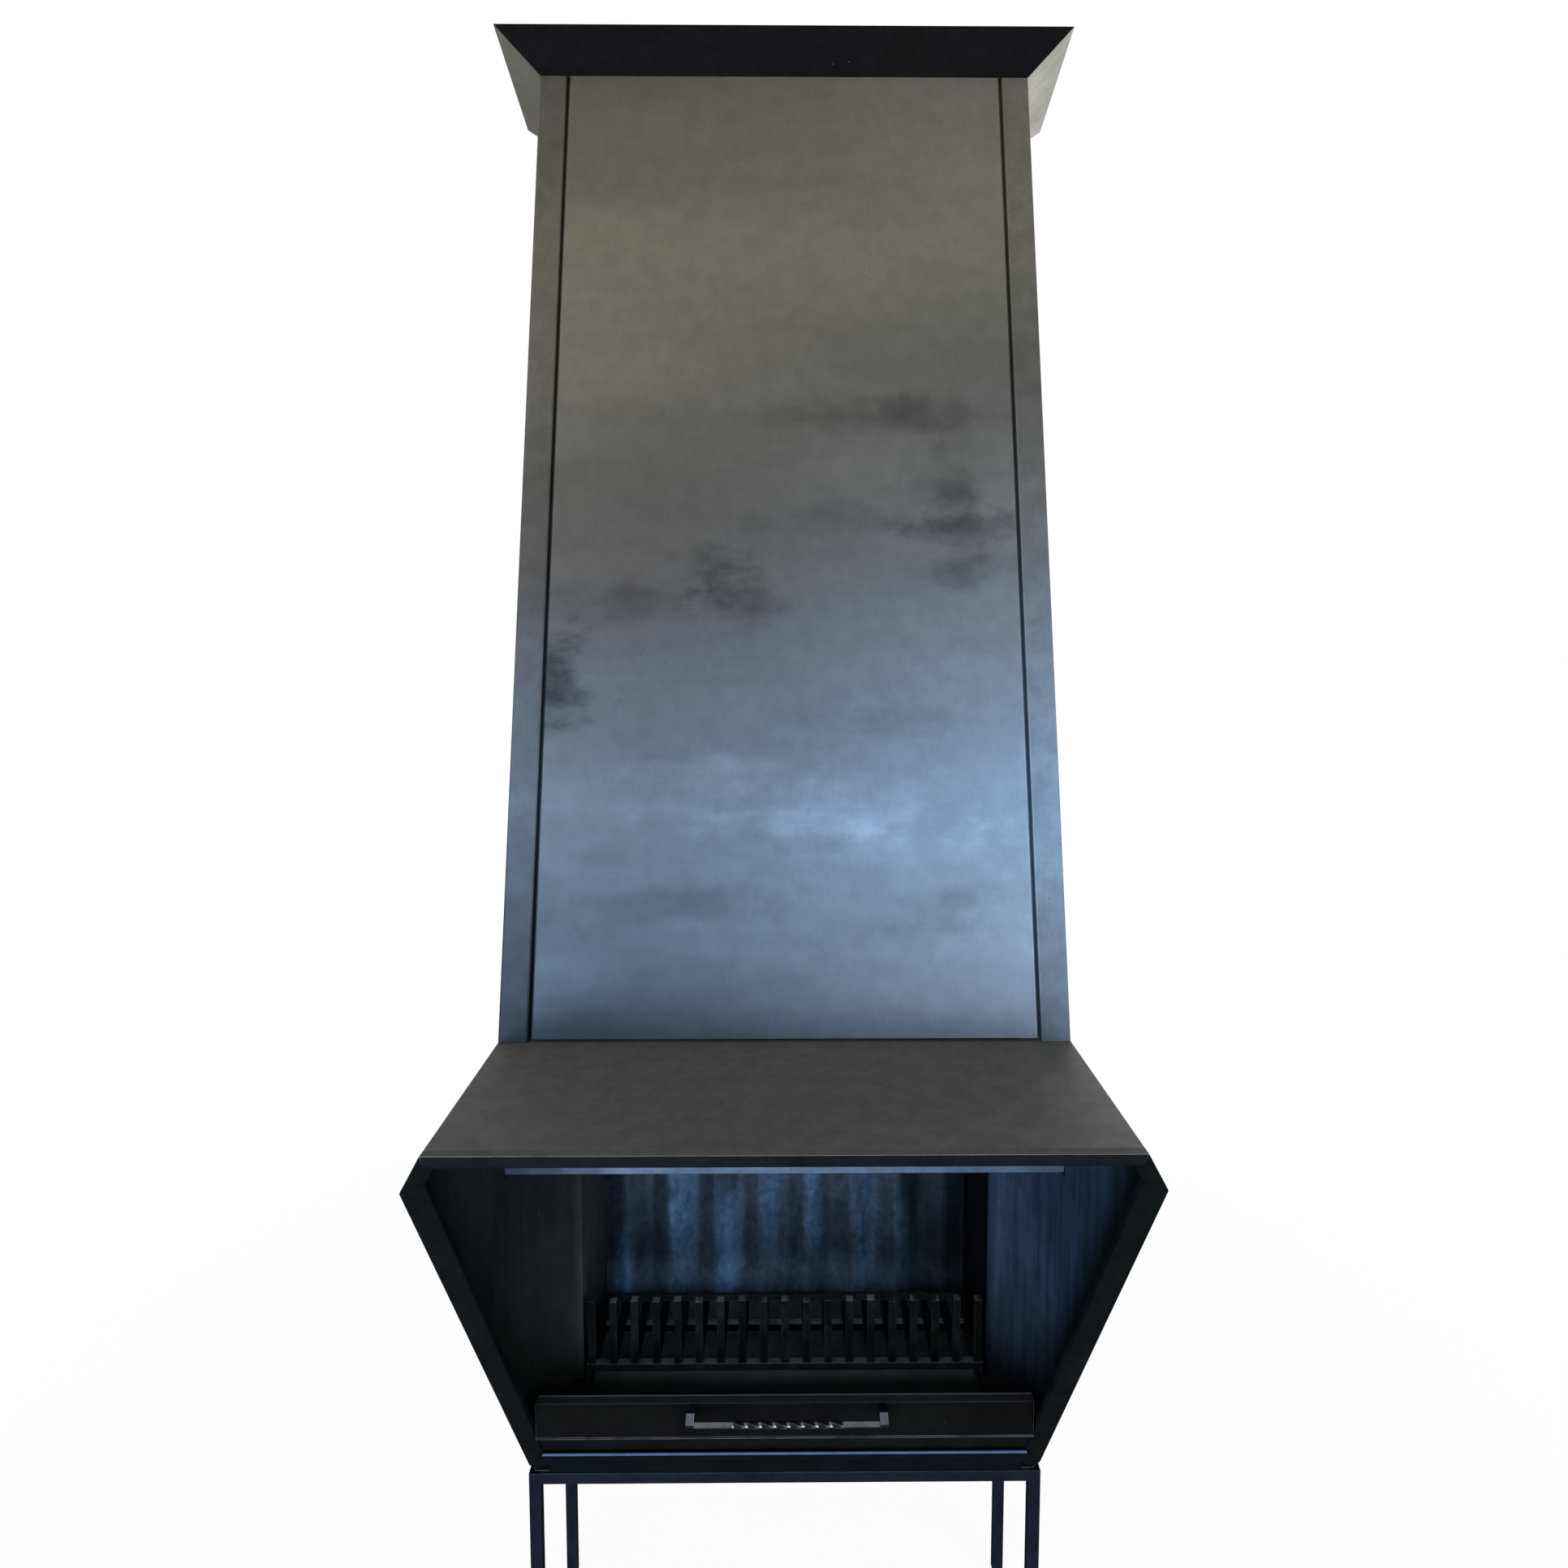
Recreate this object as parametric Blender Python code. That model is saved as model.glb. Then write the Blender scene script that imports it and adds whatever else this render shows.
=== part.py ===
"""Wall-mounted sheet-steel fireplace: a hood over an inclined open firebox on a square-tube leg frame.

The parts are drawn in metres with heights counted from the floor, the wall at y = 0 and the front
towards -Y. One empty lowers them all, so that the world origin is the middle of the body's back plate,
where the fireplace is fastened to the wall.
"""
import math

import bmesh
import bpy
from mathutils import Vector

# Clearances
SEAT_GAP = 0.0003
CUT_OVERRUN = 0.020

# Bends in sheet
FOLD_RADIUS = 0.003
FOLD_STEPS = 3

# Leg frame of square tube
FRAME_HALF_WIDTH = 0.400
FRAME_DEPTH = 0.235
FRAME_HEIGHT = 0.420
TUBE_SIDE = 0.018
TUBE_WALL = 0.0015
LEG_FOOT_THICKNESS = 0.003

# Firebox body
BODY_HALF_WIDTH = 0.400
SIDE_FOOT_RISE = 0.011
SHOULDER_HEIGHT = 0.062
SHELF_RISE = 0.792
SHELF_HALF_WIDTH = 0.363
MOUTH_FOOT_DEPTH = 0.233
SHELF_DEPTH = 0.691
CASING_SHEET = 0.002
SIDE_RETURN = 0.060
PAN_INSET = 0.008

# Frame round the mouth
RIM_WIDTH = 0.030
RIM_TOP_WIDTH = 0.022
RIM_DEPTH = 0.012
RIM_CROWN = 0.005
RIM_EDGE_SETBACK = 0.002
RIM_SHEET = 0.002
RIM_OUTER_RADIUS = 0.014
RIM_INNER_RADIUS = 0.005
RIM_CORNER_STEPS = 4
RIM_CROWN_STEPS = 10
LIP_SHEET = 0.0015
LIP_FACE = 0.053
LIP_ROLL_RADIUS = 0.0032
LIP_ROLL_ANGLE = math.radians(250)
LIP_ROLL_STEPS = 10

# Hearth and linings
HEARTH_RISE = 0.125
HEARTH_SHEET = 0.003
BASE_PANEL_SETBACK = 0.006
BASE_PANEL_HEIGHT = 0.085
BASE_PANEL_SHEET = 0.002
LINING_SHEET = 0.0015
NICHE_HALF_WIDTH = 0.320
NICHE_DEPTH = 0.195
CHEEK_BEND_DEPTH = 0.330
CHEEK_BEND_STEPS = 12
CHEEK_NOTCH_MARGIN = 0.009
BAFFLE_DROP = 0.252
BAFFLE_DEPTH = 0.322
BAFFLE_FLANGE = 0.016
BAFFLE_SHEET = 0.002
FIREBACK_MIDDLE_DEPTH = 0.020
FIREBACK_WAVE = 0.008
FIREBACK_SHEET = 0.003
FIREBACK_RIBS = 8
FIREBACK_STEPS_PER_RIB = 8

# Ash drawer
DRAWER_FACE_DEPTH = 0.305
DRAWER_HALF_WIDTH = 0.367
DRAWER_HEIGHT = 0.0535
DRAWER_TOP_FLANGE = 0.0165
DRAWER_FOOT_LIP = 0.0025
DRAWER_SHEET = 0.0015
TRAY_HALF_WIDTH = 0.303
TRAY_HEIGHT = 0.0137
TRAY_REAR_DEPTH = 0.034
TRAY_SHEET = 0.0012
HANDLE_SPAN = 0.286
HANDLE_BAR = 0.011
HANDLE_BAR_TILT = math.radians(45)
HANDLE_BAR_ALONG = 0.0092
HANDLE_BAR_SINK = 0.0002
HANDLE_POST_WIDTH = 0.014
HANDLE_POST_HEIGHT = 0.018
HANDLE_POST_REACH = 0.0258
HANDLE_POST_RISE = 0.011
HANDLE_POST_SLOPE = 0.010
HANDLE_TOP_DROP = 0.001
HANDLE_WELD_DEPTH = 0.001
HANDLE_TWIST_SPAN = 0.168
HANDLE_TURNS = 2
HANDLE_STEPS_PER_TURN = 24

# Log grate
GRATE_BARS = 19
GRATE_PITCH = 0.0339
GRATE_BAR = 0.012
GRATE_FRONT_DEPTH = 0.200
GRATE_REAR_DEPTH = 0.088
GRATE_CROSS_REAR_DEPTH = 0.120
GRATE_CROSS_RISE = 0.018
GRATE_HEIGHT = 0.135
GRATE_TRIM = 0.003
GRATE_TRIM_SHARES = (0.3, 0.9, 0.1, 0.6, 0.2, 0.8, 0.4, 0.0, 0.7, 0.3)
GRATE_TRIM_SHARES += (1.0, 0.2, 0.5, 0.1, 0.9, 0.4, 0.6, 0.0, 0.5)
GRATE_LEG_WIDTH = 0.006
GRATE_LEG_INNER = 0.308

# Smoke outlet and its damper
OUTLET_HALF_WIDTH = 0.250
OUTLET_REAR_DEPTH = 0.080
OUTLET_FRONT_DEPTH = 0.330
DAMPER_OVERLAP = 0.006
DAMPER_SHEET = 0.002
DAMPER_FLANGE = 0.014
DAMPER_ROD_RADIUS = 0.005
DAMPER_ROD_OVERHANG = 0.006
DAMPER_BORE_CLEARANCE = 0.0005
DAMPER_AXIS_DEPTH = 0.066
DAMPER_AXIS_RISE = 0.010
BRACKET_THICKNESS = 0.004
BRACKET_HALF_WIDTH = 0.012
BRACKET_SIDE_GAP = 0.003
ROUND_SIDES = 24

# Hood
HOOD_SHADOW_GAP = 0.0045
HOOD_HEIGHT = 1.294
HOOD_FOOT_HALF_WIDTH = 0.363
HOOD_FOOT_DEPTH = 0.445
HOOD_TOP_HALF_WIDTH = 0.342
HOOD_TOP_DEPTH = 0.235
HOOD_SHEET = 0.0015
HOOD_STRIP = 0.038
HOOD_GROOVE = 0.0035
HOOD_REBATE = 0.008
HOOD_FLANGE = 0.025
HOOD_BACK_SHEET = 0.002
TOP_PLATE_SHEET = 0.002
FLUE_RADIUS = 0.090
FLUE_WALL = 0.003
FLUE_RISE = 0.048
FLUE_SIDES = 48
CORNICE_RISE = 0.052
CORNICE_FRONT_OVERHANG = 0.026
CORNICE_CORNER_OVERHANG = 0.056
CORNICE_WALL_OVERHANG = 0.083
CORNICE_SHEET = 0.0015
CORNICE_STATIONS = 16

# Places that follow from the sizes above
SIDE_FOOT_Z = FRAME_HEIGHT + SIDE_FOOT_RISE
SHELF_Z = FRAME_HEIGHT + SHELF_RISE
SHOULDER_Z = SHELF_Z - SHOULDER_HEIGHT
BAFFLE_Z = SHELF_Z - BAFFLE_DROP
HEARTH_Z = FRAME_HEIGHT + HEARTH_RISE
BASE_PANEL_FOOT_Z = HEARTH_Z - BASE_PANEL_HEIGHT
DRAWER_TOP_Z = HEARTH_Z + DRAWER_HEIGHT
GRATE_CROSS_Z = HEARTH_Z + GRATE_CROSS_RISE
GRATE_TOP_Z = HEARTH_Z + GRATE_HEIGHT
HOOD_TOP_Z = SHELF_Z + HOOD_HEIGHT
MOUNT_HEIGHT = (FRAME_HEIGHT + SHELF_Z) / 2
MOUTH_SLOPE = (SHELF_DEPTH - MOUTH_FOOT_DEPTH) / (SHELF_Z - SIDE_FOOT_Z)
MOUTH_LEAN = math.atan(MOUTH_SLOPE)
BACK_PLATE_FRONT = CASING_SHEET + SEAT_GAP
EDGE_SETBACK = RIM_DEPTH + SEAT_GAP
INSIDE_HALF_WIDTH = BODY_HALF_WIDTH - CASING_SHEET - SEAT_GAP
CHEEK_HALF_WIDTH = INSIDE_HALF_WIDTH - LINING_SHEET
BETWEEN_RIMS = BODY_HALF_WIDTH - RIM_WIDTH - SEAT_GAP
HOOD_FOOT_Z = SHELF_Z + HOOD_SHADOW_GAP
GRATE_FLOOR_Z = GRATE_CROSS_Z + GRATE_BAR + SEAT_GAP
HANDLE_POST_ROOT = -DRAWER_FACE_DEPTH - SEAT_GAP
HANDLE_POST_TOP = DRAWER_TOP_Z - HANDLE_TOP_DROP
HANDLE_BROW_Y = HANDLE_POST_ROOT - HANDLE_POST_REACH
HANDLE_BROW_Z = HANDLE_POST_TOP + HANDLE_POST_RISE
DAMPER_AXIS_Z = SHELF_Z + DAMPER_AXIS_RISE
DAMPER_HALF_WIDTH = OUTLET_HALF_WIDTH + DAMPER_OVERLAP
FLUE_CENTRE_DEPTH = HOOD_TOP_DEPTH / 2

# Colours, as linear red, green and blue, then roughness and metallic
HOOD_PAINT = ((0.035, 0.040, 0.048), 0.55, 0.6)
FRAME_PAINT = ((0.016, 0.019, 0.026), 0.50, 0.5)
BODY_PAINT = ((0.020, 0.021, 0.022), 0.60, 0.5)
RIM_PAINT = ((0.010, 0.012, 0.012), 0.45, 0.6)
LINING_STEEL = ((0.022, 0.024, 0.026), 0.50, 0.8)
SOOTED_STEEL = ((0.006, 0.007, 0.008), 0.75, 0.4)
BARE_STEEL = ((0.120, 0.140, 0.170), 0.40, 0.9)
FORGED_STEEL = ((0.050, 0.055, 0.065), 0.40, 0.9)


def clear_scene():
    """Remove every object that the file opened with."""
    for thing in list(bpy.data.objects):
        bpy.data.objects.remove(thing, do_unlink=True)


def steel(name, look):
    """Return a Principled material of one painted or bare steel."""
    colour, roughness, metallic = look
    material = bpy.data.materials.new(name)
    material.use_nodes = True
    shader = material.node_tree.nodes["Principled BSDF"]
    shader.inputs["Base Color"].default_value = (*colour, 1)
    shader.inputs["Roughness"].default_value = roughness
    shader.inputs["Metallic"].default_value = metallic
    return material


def add_empty(name, place, parent=None):
    """Add an empty that carries pieces, on their joint's axis where they move."""
    empty = bpy.data.objects.new(name, None)
    empty.location = place
    empty.parent = parent
    bpy.context.scene.collection.objects.link(empty)
    return empty


def add_piece(name, skin, look, carrier, smooth=False):
    """Add a closed skin, drawn in floor heights, as one named piece on its carrier."""
    mesh = bpy.data.meshes.new(name)
    skin.to_mesh(mesh)
    skin.free()
    if smooth:
        mesh.shade_smooth()
        mesh.set_sharp_from_angle(angle=math.radians(35))
    mesh.materials.append(steel(name, look))
    piece = bpy.data.objects.new(name, mesh)
    piece.parent = carrier
    if carrier.parent is not None:
        piece.location = -Vector(carrier.location)
    bpy.context.scene.collection.objects.link(piece)
    return piece


def add_cutter(name, skin, carrier):
    """Add a wire solid that only cuts others, or is joined to them."""
    mesh = bpy.data.meshes.new(name)
    skin.to_mesh(mesh)
    skin.free()
    cutter = bpy.data.objects.new(name, mesh)
    cutter.parent = carrier
    cutter.hide_render = True
    cutter.display_type = "WIRE"
    bpy.context.scene.collection.objects.link(cutter)
    return cutter


def combine(piece, operation, solids):
    """Cut wire solids out of a piece, or join them to it."""
    for solid in solids:
        boolean = piece.modifiers.new(solid.name, "BOOLEAN")
        boolean.operation = operation
        boolean.solver = "EXACT"
        boolean.object = solid


def cut(piece, *cutters):
    """Cut a piece with one or more wire solids."""
    combine(piece, "DIFFERENCE", cutters)


def weld(piece, *additions):
    """Join one or more wire solids to a piece."""
    combine(piece, "UNION", additions)


def loft(rings, closed=False):
    """Return a skin over rings of points, capped at both ends or joined end to end."""
    skin = bmesh.new()
    rows = [[skin.verts.new(point) for point in ring] for ring in rings]
    spans = list(zip(rows, rows[1:]))
    if closed:
        spans.append((rows[-1], rows[0]))
    for lower, upper in spans:
        for index, corner in enumerate(lower):
            after = (index + 1) % len(lower)
            skin.faces.new((corner, lower[after], upper[after], upper[index]))
    if not closed:
        skin.faces.new(reversed(rows[0]))
        skin.faces.new(rows[-1])
    bmesh.ops.recalc_face_normals(skin, faces=skin.faces)
    return skin


def along_x(outline, start, end):
    """Extrude an outline of (y, z) points from x = start to x = end."""
    return loft([[(x, y, z) for y, z in outline] for x in (start, end)])


def along_y(outline, start, end):
    """Extrude an outline of (x, z) points from y = start to y = end."""
    return loft([[(x, y, z) for x, z in outline] for y in (start, end)])


def along_z(outline, start, end):
    """Extrude an outline of (x, y) points from z = start to z = end."""
    return loft([[(x, y, z) for x, y in outline] for z in (start, end)])


def rectangle(left, right, low, high):
    """Return the four corners of a rectangle in its own plane."""
    return [(left, low), (right, low), (right, high), (left, high)]


def box(left, right, front, rear, low, high):
    """Return a plain box."""
    return along_z(rectangle(left, right, front, rear), low, high)


def mirrored(points):
    """Mirror plan or elevation points about the middle, keeping the sheet on its inner side."""
    return [(-across, other) for across, other in reversed(points)]


def right_of(start, end):
    """Return the unit vector to the right of the way from start to end."""
    way = Vector(end) - Vector(start)
    return Vector((way.y, -way.x)).normalized()


def sheet_outline(points, thickness, first_cut=None, last_cut=None):
    """Return the section of a bent sheet whose skin follows points, with its steel on their right.

    A cut is the direction of an end's edge. Without one the end is square.
    """
    sides = [right_of(start, end) for start, end in zip(points, points[1:])]
    first_cut = Vector(first_cut) if first_cut else sides[0]
    last_cut = Vector(last_cut) if last_cut else sides[-1]
    inner = [Vector(points[0]) + first_cut * (thickness / first_cut.dot(sides[0]))]
    for point, before, after in zip(points[1:], sides, sides[1:]):
        bisector = (before + after).normalized()
        inner.append(Vector(point) + bisector * (thickness / bisector.dot(before)))
    inner.append(Vector(points[-1]) + last_cut * (thickness / last_cut.dot(sides[-1])))
    return [tuple(point) for point in points] + [tuple(point) for point in reversed(inner)]


def round_corner(before, corner, after, radius, steps):
    """Return points that round a corner between two neighbours in its plane."""
    corner = Vector(corner)
    back = (Vector(before) - corner).normalized()
    ahead = (Vector(after) - corner).normalized()
    half_angle = back.angle(ahead) / 2
    reach = radius / math.tan(half_angle)
    centre = corner + (back + ahead).normalized() * (radius / math.sin(half_angle))
    start = corner + back * reach - centre
    end = corner + ahead * reach - centre
    sweep = start.angle(end)
    points = []
    for step in range(steps + 1):
        turned = sweep * step / steps
        spoke = (start * math.sin(sweep - turned) + end * math.sin(turned)) / math.sin(sweep)
        points.append(tuple(centre + spoke))
    return points


def folded(bends, radius=FOLD_RADIUS):
    """Round every bend of a sheet's skin line."""
    points = [bends[0]]
    for before, corner, after in zip(bends, bends[1:], bends[2:]):
        points += round_corner(before, corner, after, radius, FOLD_STEPS)
    points.append(bends[-1])
    return points


def mouth_y(height):
    """Return where the inclined mouth plane is at a height."""
    return -(MOUTH_FOOT_DEPTH + (height - SIDE_FOOT_Z) * MOUTH_SLOPE)


def mouth_rise(height):
    """Return how far up the mouth plane a height lies."""
    return (height - SIDE_FOOT_Z) / math.cos(MOUTH_LEAN)


def mouth_point(across, rise, setback):
    """Return the point at a place in the mouth plane, set back towards the wall."""
    height = SIDE_FOOT_Z + rise * math.cos(MOUTH_LEAN)
    return (across, mouth_y(height) + setback, height)


def hood_half_width(height):
    """Return half the hood's width at a height."""
    share = (height - HOOD_FOOT_Z) / (HOOD_TOP_Z - HOOD_FOOT_Z)
    return HOOD_FOOT_HALF_WIDTH + (HOOD_TOP_HALF_WIDTH - HOOD_FOOT_HALF_WIDTH) * share


def hood_front(height):
    """Return where the hood's leaning front is at a height."""
    share = (height - HOOD_FOOT_Z) / (HOOD_TOP_Z - HOOD_FOOT_Z)
    return -(HOOD_FOOT_DEPTH + (HOOD_TOP_DEPTH - HOOD_FOOT_DEPTH) * share)


def tube_ring(centre, axis, half):
    """Return the four corners of a square round a point, across an axis."""
    corners = []
    for first, second in ((-half, -half), (half, -half), (half, half), (-half, half)):
        offset = [first, second]
        offset.insert(axis, 0)
        corners.append(tuple(Vector(centre) + Vector(offset)))
    return corners


def open_tube(start, end, axis):
    """Return a straight square tube, open at both ends."""
    outer = TUBE_SIDE / 2
    inner = outer - TUBE_WALL
    return loft(
        [
            tube_ring(start, axis, outer),
            tube_ring(end, axis, outer),
            tube_ring(end, axis, inner),
            tube_ring(start, axis, inner),
        ],
        closed=True,
    )


def leg_tube(across, depth):
    """Return an upright leg with its foot closed."""
    outer = TUBE_SIDE / 2
    inner = outer - TUBE_WALL
    foot = (across, depth, 0)
    sole = (across, depth, LEG_FOOT_THICKNESS)
    top = (across, depth, FRAME_HEIGHT)
    skins = ((foot, outer), (top, outer), (top, inner), (sole, inner))
    return loft([tube_ring(centre, 2, half) for centre, half in skins])


def build_leg_frame(carrier):
    """Four legs and the four rails welded between them."""
    half_tube = TUBE_SIDE / 2
    across = FRAME_HALF_WIDTH - half_tube
    front = half_tube - FRAME_DEPTH
    rear = -half_tube
    rail_z = FRAME_HEIGHT - half_tube
    reach = across - half_tube - SEAT_GAP
    for side, sign in (("left", -1), ("right", 1)):
        add_piece(f"leg_front_{side}", leg_tube(sign * across, front), FRAME_PAINT, carrier)
        add_piece(f"leg_rear_{side}", leg_tube(sign * across, rear), FRAME_PAINT, carrier)
        side_rail = open_tube(
            (sign * across, front + half_tube + SEAT_GAP, rail_z),
            (sign * across, rear - half_tube - SEAT_GAP, rail_z),
            1,
        )
        add_piece(f"frame_rail_{side}", side_rail, FRAME_PAINT, carrier)
    for place, depth in (("front", front), ("rear", rear)):
        rail = open_tube((-reach, depth, rail_z), (reach, depth, rail_z), 0)
        add_piece(f"frame_rail_{place}", rail, FRAME_PAINT, carrier)


def build_body(carrier, mouth_cutter, outlet_cutter):
    """The bottom pan, back plate, two sides and the shelf with its sloping shoulders."""
    pan_half_width = BODY_HALF_WIDTH - PAN_INSET
    pan_foot = FRAME_HEIGHT + SEAT_GAP
    pan_top = SIDE_FOOT_Z - SEAT_GAP
    pan_bends = [
        (pan_half_width, pan_top),
        (pan_half_width, pan_foot),
        (-pan_half_width, pan_foot),
        (-pan_half_width, pan_top),
    ]
    pan_front = -(MOUTH_FOOT_DEPTH - LIP_SHEET - SEAT_GAP)
    pan = along_y(sheet_outline(folded(pan_bends), CASING_SHEET), pan_front, -BACK_PLATE_FRONT)
    add_piece("body_bottom", pan, BODY_PAINT, carrier)

    back_outline = [
        (-BODY_HALF_WIDTH, pan_foot),
        (BODY_HALF_WIDTH, pan_foot),
        (BODY_HALF_WIDTH, SHOULDER_Z),
        (SHELF_HALF_WIDTH, SHELF_Z),
        (-SHELF_HALF_WIDTH, SHELF_Z),
        (-BODY_HALF_WIDTH, SHOULDER_Z),
    ]
    add_piece("body_back", along_y(back_outline, -CASING_SHEET, 0), BODY_PAINT, carrier)

    side_bends = folded(
        [
            (BODY_HALF_WIDTH, SHOULDER_Z - SEAT_GAP),
            (BODY_HALF_WIDTH, SIDE_FOOT_Z),
            (BODY_HALF_WIDTH - SIDE_RETURN, SIDE_FOOT_Z),
        ]
    )
    for side, bends in (("left", mirrored(side_bends)), ("right", side_bends)):
        skin = along_y(sheet_outline(bends, CASING_SHEET), -SHELF_DEPTH, -BACK_PLATE_FRONT)
        cut(add_piece(f"body_side_{side}", skin, BODY_PAINT, carrier), mouth_cutter)

    shelf_bends = [
        (-BODY_HALF_WIDTH, SHOULDER_Z),
        (-SHELF_HALF_WIDTH, SHELF_Z),
        (SHELF_HALF_WIDTH, SHELF_Z),
        (BODY_HALF_WIDTH, SHOULDER_Z),
    ]
    shelf_section = sheet_outline(folded(shelf_bends), CASING_SHEET, first_cut=(1, 0), last_cut=(-1, 0))
    shelf = along_y(shelf_section, -SHELF_DEPTH, -BACK_PLATE_FRONT)
    cut(add_piece("shelf_plate", shelf, BODY_PAINT, carrier), mouth_cutter, outlet_cutter)


def rim_section():
    """Return the rim's crowned channel section as (share of width, setback) points."""
    wall_share = RIM_SHEET / RIM_WIDTH
    outer = []
    inner = []
    for step in range(RIM_CROWN_STEPS + 1):
        share = step / RIM_CROWN_STEPS
        crown = RIM_EDGE_SETBACK - RIM_CROWN * math.sin(math.pi * share)
        outer.append((share, crown))
        inner.append((wall_share + share * (1 - 2 * wall_share), crown + RIM_SHEET))
    legs_front = [(0, RIM_DEPTH)] + outer + [(1, RIM_DEPTH)]
    legs_back = [(1 - wall_share, RIM_DEPTH)] + inner[::-1] + [(wall_share, RIM_DEPTH)]
    return legs_front + legs_back


def mouth_paths():
    """Return the rim's outer and inner edges in the mouth plane, from the right foot over to the left."""
    shoulder = mouth_rise(SHOULDER_Z)
    top = mouth_rise(SHELF_Z)
    half = [(BODY_HALF_WIDTH, 0), (BODY_HALF_WIDTH, shoulder), (SHELF_HALF_WIDTH, top)]
    outer = half + mirrored(half)
    widths = (RIM_WIDTH, RIM_WIDTH, RIM_TOP_WIDTH, RIM_WIDTH, RIM_WIDTH)
    inward = [-right_of(start, end) for start, end in zip(outer, outer[1:])]
    inner = [(BODY_HALF_WIDTH - RIM_WIDTH, 0)]
    for index in range(1, len(outer) - 1):
        before, after = inward[index - 1], inward[index]
        turn = before.x * after.y - before.y * after.x
        wide, next_wide = widths[index - 1], widths[index]
        across = (wide * after.y - next_wide * before.y) / turn
        rise = (next_wide * before.x - wide * after.x) / turn
        inner.append((outer[index][0] + across, outer[index][1] + rise))
    inner.append((RIM_WIDTH - BODY_HALF_WIDTH, 0))
    return outer, inner


def rim_skin(outer, inner):
    """Return the rim channel lofted along matching outer and inner edge points."""
    rings = []
    for (outer_x, outer_rise), (inner_x, inner_rise) in zip(outer, inner):
        ring = []
        for share, setback in rim_section():
            across = outer_x + (inner_x - outer_x) * share
            rise = outer_rise + (inner_rise - outer_rise) * share
            ring.append(mouth_point(across, rise, setback))
        rings.append(ring)
    return loft(rings)


def shifted(points, towards):
    """Move edge points by the seat gap along a direction in the mouth plane."""
    step = Vector(towards).normalized() * SEAT_GAP
    return [tuple(Vector(point) + step) for point in points]


def build_mouth(carrier):
    """The pressed frame round the mouth and the rolled lip at its foot."""
    outer, inner = mouth_paths()
    outer_bend = round_corner(*outer[0:3], RIM_OUTER_RADIUS, RIM_CORNER_STEPS)
    inner_bend = round_corner(*inner[0:3], RIM_INNER_RADIUS, RIM_CORNER_STEPS)
    back_down = Vector(outer[1]) - Vector(outer[2])
    outer_end, inner_end = shifted([outer[2], inner[2]], back_down)
    right_outer = [outer[0]] + outer_bend + [outer_end]
    right_inner = [inner[0]] + inner_bend + [inner_end]
    add_piece("rim_right", rim_skin(right_outer, right_inner), RIM_PAINT, carrier, smooth=True)
    left_skin = rim_skin(mirrored(right_outer), mirrored(right_inner))
    add_piece("rim_left", left_skin, RIM_PAINT, carrier, smooth=True)
    add_piece("rim_top", rim_skin(outer[2:4], inner[2:4]), RIM_PAINT, carrier, smooth=True)

    up = Vector((-math.sin(MOUTH_LEAN), math.cos(MOUTH_LEAN)))
    out = Vector((-math.cos(MOUTH_LEAN), -math.sin(MOUTH_LEAN)))
    corner = Vector((-MOUTH_FOOT_DEPTH, SIDE_FOOT_Z))
    lip_bends = [(-MOUTH_FOOT_DEPTH, FRAME_HEIGHT + SEAT_GAP), tuple(corner)]
    for step in range(LIP_ROLL_STEPS + 1):
        turned = LIP_ROLL_ANGLE * step / LIP_ROLL_STEPS
        rise = LIP_FACE + LIP_ROLL_RADIUS * math.sin(turned)
        stand = LIP_ROLL_RADIUS * (1 - math.cos(turned))
        lip_bends.append(tuple(corner + up * rise + out * stand))
    lip = along_x(sheet_outline(lip_bends, LIP_SHEET), -BETWEEN_RIMS, BETWEEN_RIMS)
    add_piece("lip_bottom", lip, RIM_PAINT, carrier, smooth=True)


def cheek_bends():
    """Return the left lining's plan: niche wall, splayed roll and straight front part."""
    splay = CHEEK_HALF_WIDTH - NICHE_HALF_WIDTH
    run = CHEEK_BEND_DEPTH - NICHE_DEPTH
    radius = (splay ** 2 + run ** 2) / (2 * splay)
    sweep = math.asin(run / radius)
    bends = [(-NICHE_HALF_WIDTH, -BACK_PLATE_FRONT)]
    for step in range(CHEEK_BEND_STEPS + 1):
        angle = sweep * (1 - step / CHEEK_BEND_STEPS)
        across = radius - CHEEK_HALF_WIDTH - radius * math.cos(angle)
        bends.append((across, radius * math.sin(angle) - CHEEK_BEND_DEPTH))
    bends.append((-CHEEK_HALF_WIDTH, -SHELF_DEPTH))
    return bends


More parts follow.
